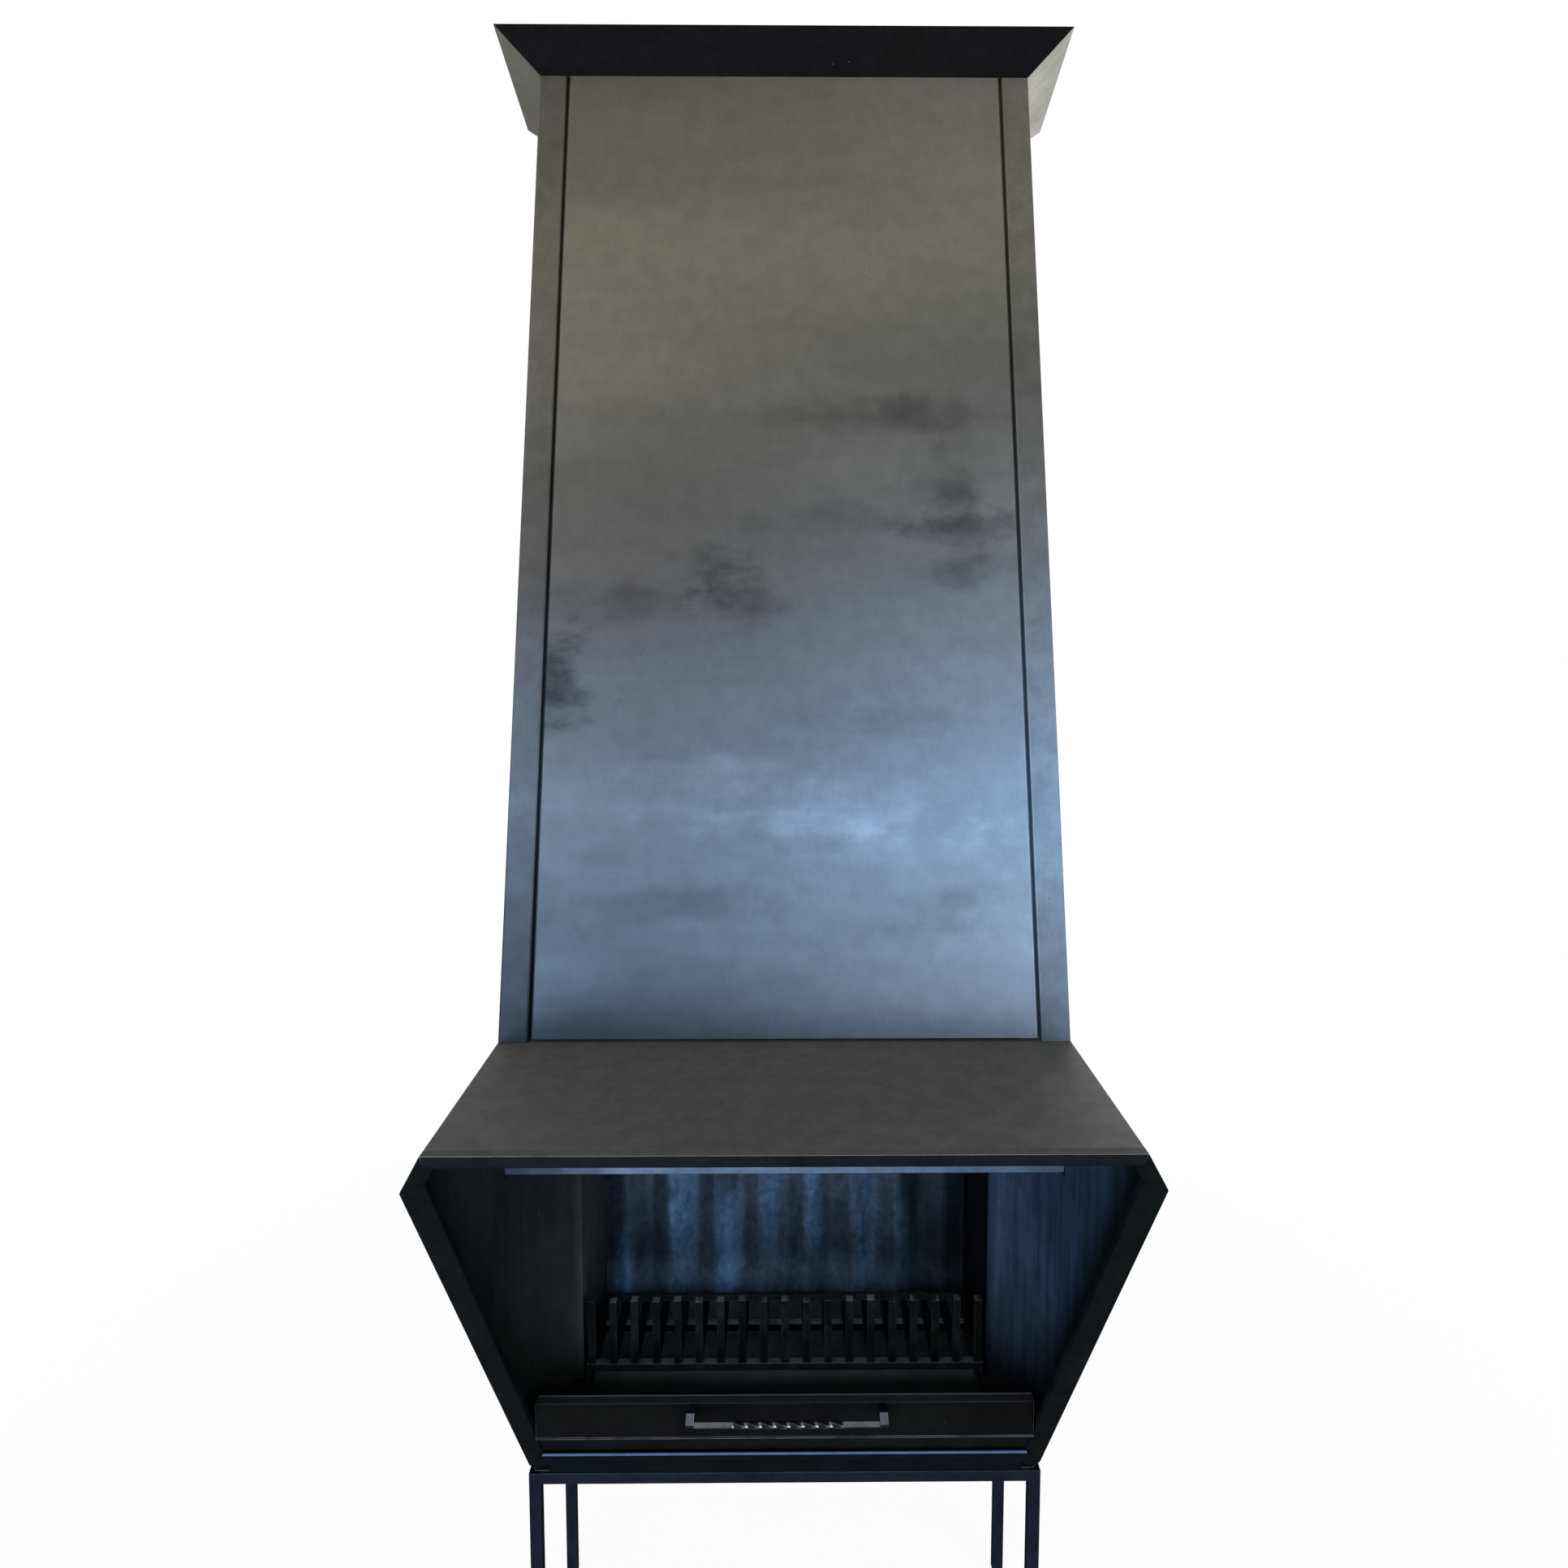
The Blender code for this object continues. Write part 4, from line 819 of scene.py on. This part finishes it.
@dataclass
class Studio:
    """The camera, the pale floor, the white surroundings and the soft lamps."""

    camera_place: Triple = (0.00005, -1.542, 0.917)
    pitch_down: float = 0.06936
    turn: float = -0.007084
    lens: float = 20.499
    sensor: float = 36.0
    shift: Pair = (-0.004555, -0.058747)
    floor_half: float = 30.0
    ambient: float = 0.55
    showing_rays: tuple[str, ...] = ("Is Camera Ray", "Is Glossy Ray", "Is Transmission Ray")
    white: Colour = (1.0, 1.0, 1.0, 1.0)
    floor_colour: Colour = (0.86, 0.86, 0.86, 1.0)
    floor_rough: float = 0.9
    floor_glow: float = 0.92
    shadow_reach: float = 0.9
    clear_reach: float = 2.4
    lamps: tuple[Lamp, ...] = (
        Lamp("lamp_front_left", (-2.4, -3.4, 2.0), (0, -0.3, 0.5), 2.6, 50, (1.0, 0.98, 0.95)),
        Lamp("lamp_front_right", (2.6, -3.2, 1.0), (0, -0.3, 0.3), 2.6, 50, (0.94, 0.97, 1.0)),
        Lamp("lamp_low", (-0.9, -2.6, -0.1), (0.1, -0.3, -0.1), 1.4, 32, (0.8, 0.9, 1.0)),
        Lamp("lamp_back", (0.8, 3.4, 2.4), (0, 0, 0.4), 3.0, 70, (1.0, 1.0, 1.0)),
    )

    def build(self) -> None:
        """Set up everything round the object."""
        bpy.context.scene.view_settings.view_transform = "Standard"
        self.add_camera()
        self.add_world()
        self.add_floor()
        for lamp in self.lamps:
            self.add_lamp(lamp)

    def add_camera(self) -> None:
        """Place the camera where the photograph was taken from."""
        data = bpy.data.cameras.new("camera")
        data.sensor_width = self.sensor
        data.lens = self.lens
        data.shift_x, data.shift_y = self.shift
        camera = placed("camera", data)
        camera.location = self.camera_place
        camera.rotation_euler = (math.pi / 2 - self.pitch_down, 0, self.turn)
        bpy.context.scene.camera = camera

    def seen(self, graph: Graph) -> Value:
        """Return one for rays that show the background, and zero for rays that light the object."""
        path = graph.add("ShaderNodeLightPath").outputs
        return reduce(partial(graph.maths, "ADD", clamp=True), [path[name] for name in self.showing_rays])

    def add_world(self) -> None:
        """White where it is seen, softer where it lights."""
        world = bpy.data.worlds.new("surroundings")
        bpy.context.scene.world = world
        world.use_nodes = True
        graph = Graph(world.node_tree)
        strength = graph.spread(self.seen(graph), self.ambient, 1.0)
        graph.fill(world.node_tree.nodes["Background"], {"Color": self.white, "Strength": strength})

    def add_floor(self) -> None:
        """A wide pale floor that keeps a soft shadow."""
        skin = bmesh.new()
        bmesh.ops.create_grid(skin, x_segments=1, y_segments=1, size=self.floor_half)
        bmesh.ops.translate(skin, verts=skin.verts, vec=(0, 0, FLOOR_Z))
        mesh = bpy.data.meshes.new("floor")
        skin.to_mesh(mesh)
        skin.free()
        material = bpy.data.materials.new("pale_floor")
        material.use_nodes = True
        graph = Graph(material.node_tree)
        nodes = material.node_tree.nodes
        shader = nodes["Principled BSDF"]
        graph.fill(shader, {"Base Color": self.floor_colour, "Roughness": self.floor_rough})
        glow = graph.add("ShaderNodeEmission").outputs[0]
        away = graph.length(graph.place)
        share = graph.ease(away, self.shadow_reach, self.clear_reach, self.floor_glow, 1.0)
        inputs = {0: graph.times(self.seen(graph), share), 1: shader.outputs[0], 2: glow}
        mixed = graph.add("ShaderNodeMixShader", inputs)
        graph.fill(nodes["Material Output"], {"Surface": mixed.outputs[0]})
        mesh.materials.append(material)
        floor = placed("floor", mesh)

    def add_lamp(self, lamp: Lamp) -> None:
        """Place one square soft lamp.

        Args:
            lamp: Its place, aim, size and light.
        """
        data = bpy.data.lights.new(lamp.name, "AREA")
        data.shape = "SQUARE"
        data.size = lamp.side
        data.energy = lamp.power
        data.color = lamp.colour
        light = placed(lamp.name, data)
        light.location = lamp.place
        direction = Vector(lamp.aim) - Vector(lamp.place)
        light.rotation_mode = "QUATERNION"
        light.rotation_quaternion = direction.to_track_quat("-Z", "Y")


@dataclass
class LegFrame:
    """The square-tube frame that the firebox stands on."""

    shop: Workshop
    paint: SteelFinish = SteelFinish(
        "frame_black_blue", tone(17, 21, 29), tone(27, 34, 45), gloss=(0.4, 0.55), specular=0.0,
        worn_and_sheen=tone(52, 60, 72),
    )
    tube: Forming = Forming(sheet=0.0015, fold=0.0022, edge=0.0003)

    def build(self) -> None:
        """Round and dress the legs and rails."""
        nodes = []
        for place in ("front", "rear"):
            nodes.extend((f"leg_{place}_left", f"leg_{place}_right", f"frame_rail_{place}"))
        for node in (*nodes, "frame_rail_left", "frame_rail_right"):
            self.shop.form(node, self.paint, Slot.LEGS, self.tube)


@dataclass
class Firebox:
    """The inclined body: pan, back, sides, shelf, the frame round its mouth and its lip."""

    shop: Workshop
    shelf: SteelFinish = SteelFinish(
        "shelf_matt_steel", tone(78, 78, 76), tone(90, 90, 86), stretch=(7.0,) * 3, contrast=1.6,
        gloss=(0.62, 0.72), metallic=0.3, specular=0.15, wear_and_sheen=0.8,
    )
    casing: SteelFinish = SteelFinish(
        "casing_black_steel", tone(26, 29, 32), tone(40, 43, 46), gloss=(0.5, 0.62), metallic=0.5,
    )
    # The rims: faces that face up take a lighter colour as painted light
    rim: SteelFinish = SteelFinish(
        "rim_black_steel", tone(10, 13, 14), tone(19, 24, 26), stretch=(12.0,) * 3,
        gloss=(0.48, 0.62), specular=0.0, worn_and_sheen=tone(36, 42, 48), wear_and_sheen=0.3,
        upper=tone(27, 34, 36), upper_share=0.8, upper_limits=(0.74, 0.98),
    )
    # The top rim: a bright painted highlight on its rounded front edge, and its top face in the shelf's grey
    crown: SteelFinish = replace(
        rim, name="crown_rim_steel", dark=tone(16, 18, 20), light=tone(25, 28, 31), worn_and_sheen=tone(126, 128, 134),
        wear_and_sheen=1.3, upper=tone(84, 84, 81), upper_share=1.0, upper_limits=(0.86, 0.96),
    )
    # The lip's roll: its up-facing faces take a bright blue painted highlight
    lip: SteelFinish = replace(
        rim, name="lip_painted_highlight_steel", dark=tone(9, 13, 16), light=tone(15, 20, 24), worn_and_sheen=tone(24, 30, 40),
        gloss=(0.28, 0.42), upper=tone(112, 142, 202), upper_share=1.0, upper_limits=(0.76, 0.97),
    )
    sheet: Forming = Forming(sheet=0.002, fold=0.004, edge=0.0005)
    rolled: Forming = Forming(sheet=0.0015, fold=0.0, edge=0.0003)
    # Where the side rims' painted light comes from, for the left rim; the right one mirrors it
    rim_light_aim: Triple = (0.55, -0.72, -0.42)

    def build(self) -> None:
        """Form and dress the body's plates."""
        for node in ("body_bottom", "body_back", "body_side_left", "body_side_right"):
            self.shop.form(node, self.casing, Slot.BODY, self.sheet)
        self.shop.form("shelf_plate", self.shelf, Slot.BODY, self.sheet)
        # Each side rim takes painted light on the faces toward that light, with its own lit colour
        for side, sign, lit in (("left", 1, tone(15, 19, 21)), ("right", -1, tone(14, 17, 19))):
            aim = (sign * self.rim_light_aim[0], *self.rim_light_aim[1:])
            aimed = replace(self.rim, name=f"rim_{side}_black_steel", upper=lit, upper_aim=aim)
            self.shop.form(f"rim_{side}", aimed, Slot.RIM, self.rolled, fit=narrow_shoulder)
        self.shop.form("rim_top", self.crown, Slot.RIM, self.rolled, fit=narrow_shoulder)
        self.shop.form("lip_bottom", self.lip, Slot.RIM, self.rolled)
        self.shop.form("base_front_panel", self.rim, Slot.RIM, self.sheet)


@dataclass
class Linings:
    """The hearth, the rolled cheeks, the ribbed fireback and the smoke baffle."""

    shop: Workshop
    hearth: SteelFinish = HearthFinish(
        "hearth_soot_and_painted_light", tone(48, 57, 59), tone(66, 73, 74), stretch=(14.0,) * 3,
        gloss=(0.65, 0.8), metallic=0.1, specular=0.04, wear_and_sheen=0.1,
    )
    fireback: SteelFinish = FirebackFinish(
        "fireback_painted_sheen_steel", tone(38, 50, 66), tone(66, 82, 102), stretch=(11.0, 11.0, 7.0),
        gloss=(0.42, 0.6), metallic=0.6, specular=0.2, wear_and_sheen=0.2,
    )
    # The left cheek: no sheen, its niche wall lifted by painted light
    cheek_left: SteelFinish = CheekFinish(
        "cheek_left_dark", tone(24, 31, 33), tone(36, 43, 45), stretch=(9.0, 9.0, 5.0),
        metallic=0.1, specular=0.04, wear_and_sheen=0.2, amount=0.0, niche_gain=2.4, wisp=0.12,
        speck=tone(74, 82, 84), speck_share=0.8,
    )
    # The right cheek: a painted blue sheen, and painted shade near the frame and on its niche wall
    cheek_right: SteelFinish = CheekFinish(
        "cheek_right_painted_sheen", tone(16, 22, 28), tone(26, 34, 41), stretch=(9.0, 9.0, 5.0),
        gloss=(0.42, 0.6), metallic=0.2, specular=0.05, wear_and_sheen=0.2, frame_shadow_gain=0.3, niche_gain=0.3,
    )
    # The baffle's bare steel edge, its colour raised as painted light where the firebox shades it
    strip: SteelFinish = SteelFinish(
        "baffle_bare_steel_painted_light", tone(62, 83, 108), tone(88, 111, 139), stretch=(14.0, 30.0, 30.0),
        gloss=(0.35, 0.5), metallic=0.15, specular=0.2, wear_and_sheen=0.2, mottle=0.18,
    )
    sheet: Forming = Forming(sheet=0.0015, fold=0.0, edge=0.0003)

    def build(self) -> None:
        """Form and dress the plates inside the firebox."""
        dressed = (
            ("hearth_floor", self.hearth, Slot.SOOTED),
            ("fireback", self.fireback, Slot.LINING),
            ("cheek_left", self.cheek_left, Slot.LINING),
            ("cheek_right", self.cheek_right, Slot.LINING),
            ("smoke_baffle", self.strip, Slot.BARE),
        )
        for node, finish, slot in dressed:
            self.shop.form(node, finish, slot, self.sheet)


@dataclass(frozen=True)
class GrateFinish(SteelFinish):
    """Fire scale on the grate: every bar a little different, with lighter top faces at the tips."""

    tip: Colour = tone(108, 108, 108)
    tip_z: Pair = (-0.146, -0.141)

    def ground(self, graph: Graph) -> Value:
        """Return scale that changes from bar to bar, and lighter at the tips.

        Args:
            graph: The material's graph.

        Returns:
            A colour socket.
        """
        bars = graph.stretched(graph.place, (23.0, 3.0, 9.0))
        shade = graph.ease(graph.noise(bars), 0.35, 0.65, 0.6, 1.7)
        colour = graph.shaded(super().ground(graph), shade)
        height = graph.ease(graph.parts["Z"], *self.tip_z)
        uneven = graph.ease(graph.noise(bars, 2.3, detail=0.0), 0.35, 0.62, 0.15, 1.0)
        tips = graph.times(height, graph.ease(graph.facing(), *TOP_LIMITS), uneven)
        return graph.mix(tips, colour, self.tip)


@dataclass
class LogGrate:
    """The lift-out grate of bent square bars."""

    shop: Workshop
    bars: int = 19
    black: SteelFinish = GrateFinish(
        "grate_scale", tone(7, 9, 10), tone(17, 21, 23), stretch=(60.0,) * 3, contrast=2.6,
        gloss=(0.42, 0.7), specular=0.02, worn_and_sheen=tone(40, 46, 50), grain=0.0002, mottle=0.3,
    )
    rail: SteelFinish = SteelFinish(
        "grate_rail_scale", tone(16, 20, 22), tone(30, 35, 38), stretch=(60.0,) * 3, contrast=2.6,
        gloss=(0.42, 0.7), specular=0.04, worn_and_sheen=tone(60, 66, 70), wear_and_sheen=0.3, grain=0.0002,
        mottle=0.3, upper_share=1.0, upper_limits=(0.5, 0.9),
    )
    bar: Forming = Forming(sheet=0.012, fold=0.0, edge=0.0011)

    def build(self) -> None:
        """Round and dress the cross bars and the standing bars."""
        # Painted light on the rails' top faces, brighter on the rear rail, which lies in shadow
        for place, top in (("front", tone(68, 80, 90)), ("rear", tone(124, 136, 146))):
            rail = replace(self.rail, name=f"grate_{place}_rail_scale", upper=top)
            self.shop.form(f"grate_cross_{place}", rail, Slot.FORGED, self.bar, Body.GRATE)
        for index in range(1, self.bars + 1):
            self.shop.form(f"grate_bar_{index:02d}", self.black, Slot.FORGED, self.bar, Body.GRATE)


@dataclass(frozen=True)
class TrayFinish(SteelFinish):
    """The drawer's tray: dull steel, grey with ash and painted light where it lies in the grate's shadow."""

    # Grey ash, made light enough to serve as painted light in the grate's shadow
    ash: Colour = tone(100, 109, 109)
    ash_y: Pair = (-0.218, -0.17)
    rim_z: Pair = (-0.26, -0.2575)

    def ground(self, graph: Graph) -> Value:
        """Return dull steel with ash and painted light laid over its rear part.

        Args:
            graph: The material's graph.

        Returns:
            A colour socket.
        """
        under = graph.ease(graph.parts["Y"], *self.ash_y)
        uneven = graph.ease(graph.clouds, 0.2, 0.8, 0.7, 1.0)
        level = graph.ease(graph.facing(), 0.2, 0.7, 0.4, 1.0)
        rim = graph.ease(graph.parts["Z"], *self.rim_z, 1.0, 0.2)
        share = graph.times(under, uneven, graph.times(level, rim))
        return graph.mix(share, super().ground(graph), self.ash)


@dataclass(frozen=True)
class DrawerFinish(SteelFinish):
    """The drawer's front: black, with painted light on its flange and a painted highlight line along the
    flange's rear edge.
    """

    # Painted light on the up-facing flange, and a painted highlight line along its rear edge
    flange: Colour = tone(38, 42, 46)
    line: Colour = tone(96, 99, 108)
    line_y: Pair = (-0.2918, -0.2908)

    def ground(self, graph: Graph) -> Value:
        """Return black steel with painted light on the up-facing flange and the painted highlight line.

        Args:
            graph: The material's graph.

        Returns:
            A colour socket.
        """
        facing = graph.facing()
        colour = super().ground(graph)
        colour = graph.mix(graph.ease(facing, 0.5, 0.9), colour, self.flange)
        behind = graph.ease(graph.parts["Y"], *self.line_y)
        return graph.mix(graph.times(behind, graph.ease(facing, *TOP_LIMITS)), colour, self.line)


@dataclass(frozen=True)
class HandleShape:
    """The drawer's handle: two posts with sloping fronts and a square bar twisted in its middle."""

    middle: float = 0.0026
    half_width: float = 0.1454
    post_width: float = 0.0121
    post_outline: tuple = (
        (-0.3053, -0.2365), (-0.3411, -0.2208), (-0.3411, -0.2175), (-0.3311, -0.2075), (-0.3053, -0.2185),
    )
    bar_axis: Pair = (-0.3364, -0.2212)
    half_bar: float = 0.0038
    corner: float = 0.0009
    corner_steps: int = 3
    flat_steps: int = 6
    tilt: float = math.radians(45)
    twist_half: float = 0.081
    twist_aside: float = 0.0015
    turns: int = 2
    steps_per_turn: int = 32
    weld: float = 0.001

    def skin(self, shop: Workshop, forming: Forming) -> Skin:
        """Return the handle's closed skins, the posts' edges rounded.

        Args:
            shop: The workshop that rounds edges.
            forming: The posts' radii.

        Returns:
            The finished skin.
        """
        skin = bmesh.new()
        inner = self.half_width - self.post_width
        for side in (-1, 1):
            rings = []
            for reach in (inner, self.half_width):
                rings.append(self.ring(skin, self.middle + side * reach, self.post_outline))
            self.close(skin, rings)
        bmesh.ops.recalc_face_normals(skin, faces=skin.faces)
        skin.normal_update()
        shop.round_off(skin, forming)
        self.add_bar(skin, inner + self.weld)
        bmesh.ops.recalc_face_normals(skin, faces=skin.faces)
        return skin

    def add_bar(self, skin: Skin, half_length: float) -> None:
        """Add the bar, straight at its ends and twisted in its middle.

        Args:
            skin: The handle's skin.
            half_length: Half the bar's length.
        """
        section = self.section()
        steps = self.turns * self.steps_per_turn
        stations = [(-half_length, 0.0)]
        for step in range(steps + 1):
            across = self.twist_aside + self.twist_half * (2 * step / steps - 1)
            stations.append((across, math.tau * self.turns * step / steps))
        stations.append((half_length, 0.0))
        rings = []
        for across, twist in stations:
            turned = self.turned(section, self.tilt + twist)
            outline = [(self.bar_axis[0] + depth, self.bar_axis[1] + rise) for depth, rise in turned]
            rings.append(self.ring(skin, self.middle + across, outline))
        self.close(skin, rings)

    def section(self) -> list[Pair]:
        """Return the bar's square section with rounded corners, round its own middle.

        Returns:
            Its points.
        """
        flat = self.half_bar - self.corner
        side = []
        for step in range(self.flat_steps):
            side.append((self.half_bar, flat * (2 * step / self.flat_steps - 1)))
        for step in range(self.corner_steps):
            angle = math.pi / 2 * step / self.corner_steps
            side.append((flat + self.corner * math.cos(angle), flat + self.corner * math.sin(angle)))
        return [point for quarter in range(4) for point in self.turned(side, quarter * math.pi / 2)]

    def turned(self, points: list, angle: float) -> list[Pair]:
        """Return points turned round their own middle."""
        along, aside = math.cos(angle), math.sin(angle)
        return [(depth * along - rise * aside, depth * aside + rise * along) for depth, rise in points]

    def ring(self, skin: Skin, across: float, outline: tuple | list) -> list:
        """Add the corners of an outline that stands across the handle, and return them."""
        return [skin.verts.new((across, depth, rise)) for depth, rise in outline]

    def close(self, skin: Skin, rings: list) -> None:
        """Join a row of rings by faces and close both ends.

        Args:
            skin: The handle's skin.
            rings: Rows of corners.
        """
        count = len(rings[0])
        for first, second in zip(rings, rings[1:]):
            for index in range(count):
                after = (index + 1) % count
                skin.faces.new((first[index], first[after], second[after], second[index]))
        skin.faces.new(rings[0])
        skin.faces.new(rings[-1])


@dataclass
class AshDrawer:
    """The ash drawer with its folded front and its twisted handle."""

    shop: Workshop
    black: SteelFinish = DrawerFinish(
        "drawer_black_steel", tone(11, 12, 13), tone(17, 19, 20), stretch=(8.0, 14.0, 14.0),
        gloss=(0.42, 0.58), specular=0.0, worn_and_sheen=tone(96, 98, 104), wear_and_sheen=0.9,
    )
    tray_with_ash_and_painted_light: SteelFinish = TrayFinish(
        "tray_ash_and_painted_light_steel", tone(22, 30, 34), tone(29, 37, 42), stretch=(14.0,) * 3,
        gloss=(0.65, 0.8), specular=0.02, wear_and_sheen=0.1,
    )
    # The handle: painted light on faces that face up and forward, and painted glints on the twist
    forged: SteelFinish = SteelFinish(
        "handle_forged_steel", tone(12, 14, 17), tone(20, 23, 27), stretch=(40.0, 60.0, 60.0),
        gloss=(0.32, 0.48), metallic=0.1, specular=0.08, wear_and_sheen=0.0, mottle=0.2,
        upper=tone(84, 86, 93), upper_share=1.0, upper_aim=(0.0, -0.707, 0.707),
        upper_limits=(0.968, 0.998), glint_share=0.9,
    )
    sheet: Forming = Forming(sheet=0.0015, fold=0.0022, edge=0.0005)
    post: Forming = Forming(sheet=0.012, fold=0.0, edge=0.0006)

    def build(self) -> None:
        """Form the drawer's plates and make its handle."""
        self.shop.form("drawer_front", self.black, Slot.LINING, self.sheet, Body.DRAWER)
        self.shop.form("drawer_tray", self.tray_with_ash_and_painted_light, Slot.LINING, self.sheet, Body.DRAWER)
        skin = HandleShape().skin(self.shop, self.post)
        replaced = ("drawer_handle",)
        self.shop.add("drawer_handle_formed", skin, self.forged, Body.DRAWER, Slot.FORGED, replaced)


@dataclass
class Damper:
    """The damper flap over the smoke outlet, with its rod and brackets."""

    shop: Workshop
    soot: SteelFinish = SteelFinish(
        "damper_soot", tone(14, 15, 16), tone(28, 29, 30), stretch=(16.0,) * 3,
        gloss=(0.6, 0.8), metallic=0.4, specular=0.1, wear_and_sheen=0.2,
    )
    sheet: Forming = Forming(sheet=0.002, fold=0.003, edge=0.0004)

    def build(self) -> None:
        """Form the flap and dress its rod and brackets."""
        self.shop.form("damper_flap", self.soot, Slot.SOOTED, self.sheet, Body.DAMPER)
        for node in ("damper_rod", "damper_bracket_left", "damper_bracket_right"):
            self.shop.dress(node, self.soot)


@dataclass
class Hood:
    """The tapering hood, its flared cornice and the flue collar."""

    shop: Workshop
    panel: SteelFinish = HoodFinish(
        "hood_panel_steel", stretch=(2.2, 2.2, 11.0), contrast=1.9, gloss=(0.34, 0.5), metallic=0.7,
        wear_and_sheen=0.35, speck=tone(60, 44, 36), mottle=0.07, streak=0.05,
    )
    casing: SteelFinish = HoodFinish(
        "hood_casing_steel", stretch=(2.5, 2.5, 9.0), contrast=1.3, gloss=(0.36, 0.5), metallic=0.7,
        wear_and_sheen=0.35, gain=0.84, side_gains=(0.72, 0.86), foot_gain=0.66, patches=(),
    )
    plain: SteelFinish = SteelFinish(
        "hood_plain_steel", tone(52, 52, 50), tone(72, 72, 70), stretch=(3.0, 3.0, 6.0), metallic=0.6,
    )
    # The cornice's flaps are one steel: the front, facing down, is painted shade, and the right flap is a
    # painted reflection, far brighter than the left
    flap_front: SteelFinish = SteelFinish(
        "cornice_front_painted_shade", tone(15, 16, 18), tone(22, 23, 25), stretch=(6.0, 6.0, 20.0),
        gloss=(0.5, 0.65), specular=0.0, speck=tone(120, 120, 120), wear_and_sheen=0.2,
    )
    flap_left: SteelFinish = SteelFinish(
        "cornice_left_steel", tone(73, 71, 60), tone(90, 88, 76), stretch=(5.0, 5.0, 12.0), metallic=0.6,
    )
    flap_right: SteelFinish = SteelFinish(
        "cornice_right_painted_reflection", tone(142, 139, 130), tone(168, 165, 155), stretch=(5.0, 5.0, 12.0),
        gloss=(0.35, 0.5), metallic=0.6,
    )
    sheet: Forming = Forming(sheet=0.0015, fold=0.0028, edge=0.0004)

    def build(self) -> None:
        """Form and dress the hood and its cornice."""
        dressed = (
            ("hood_front_panel", self.panel), ("hood_casing_left", self.casing),
            ("hood_casing_right", self.casing), ("hood_back_panel", self.plain),
            ("hood_top_plate", self.plain), ("cornice_front", self.flap_front),
            ("cornice_left", self.flap_left), ("cornice_right", self.flap_right),
        )
        for node, finish in dressed:
            self.shop.form(node, finish, Slot.HOOD, self.sheet)
        self.shop.dress("flue_collar", self.plain)


def main() -> None:
    """Build the studio and every sub-assembly."""
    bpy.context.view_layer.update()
    Studio().build()
    shop = Workshop(Effects())
    for assembly in (LegFrame, Firebox, Linings, LogGrate, AshDrawer, Damper, Hood):
        assembly(shop).build()
        LOG.info("%s is dressed", assembly.__name__)


if __name__ == "__main__":
    logging.basicConfig(level=logging.INFO)
    main()
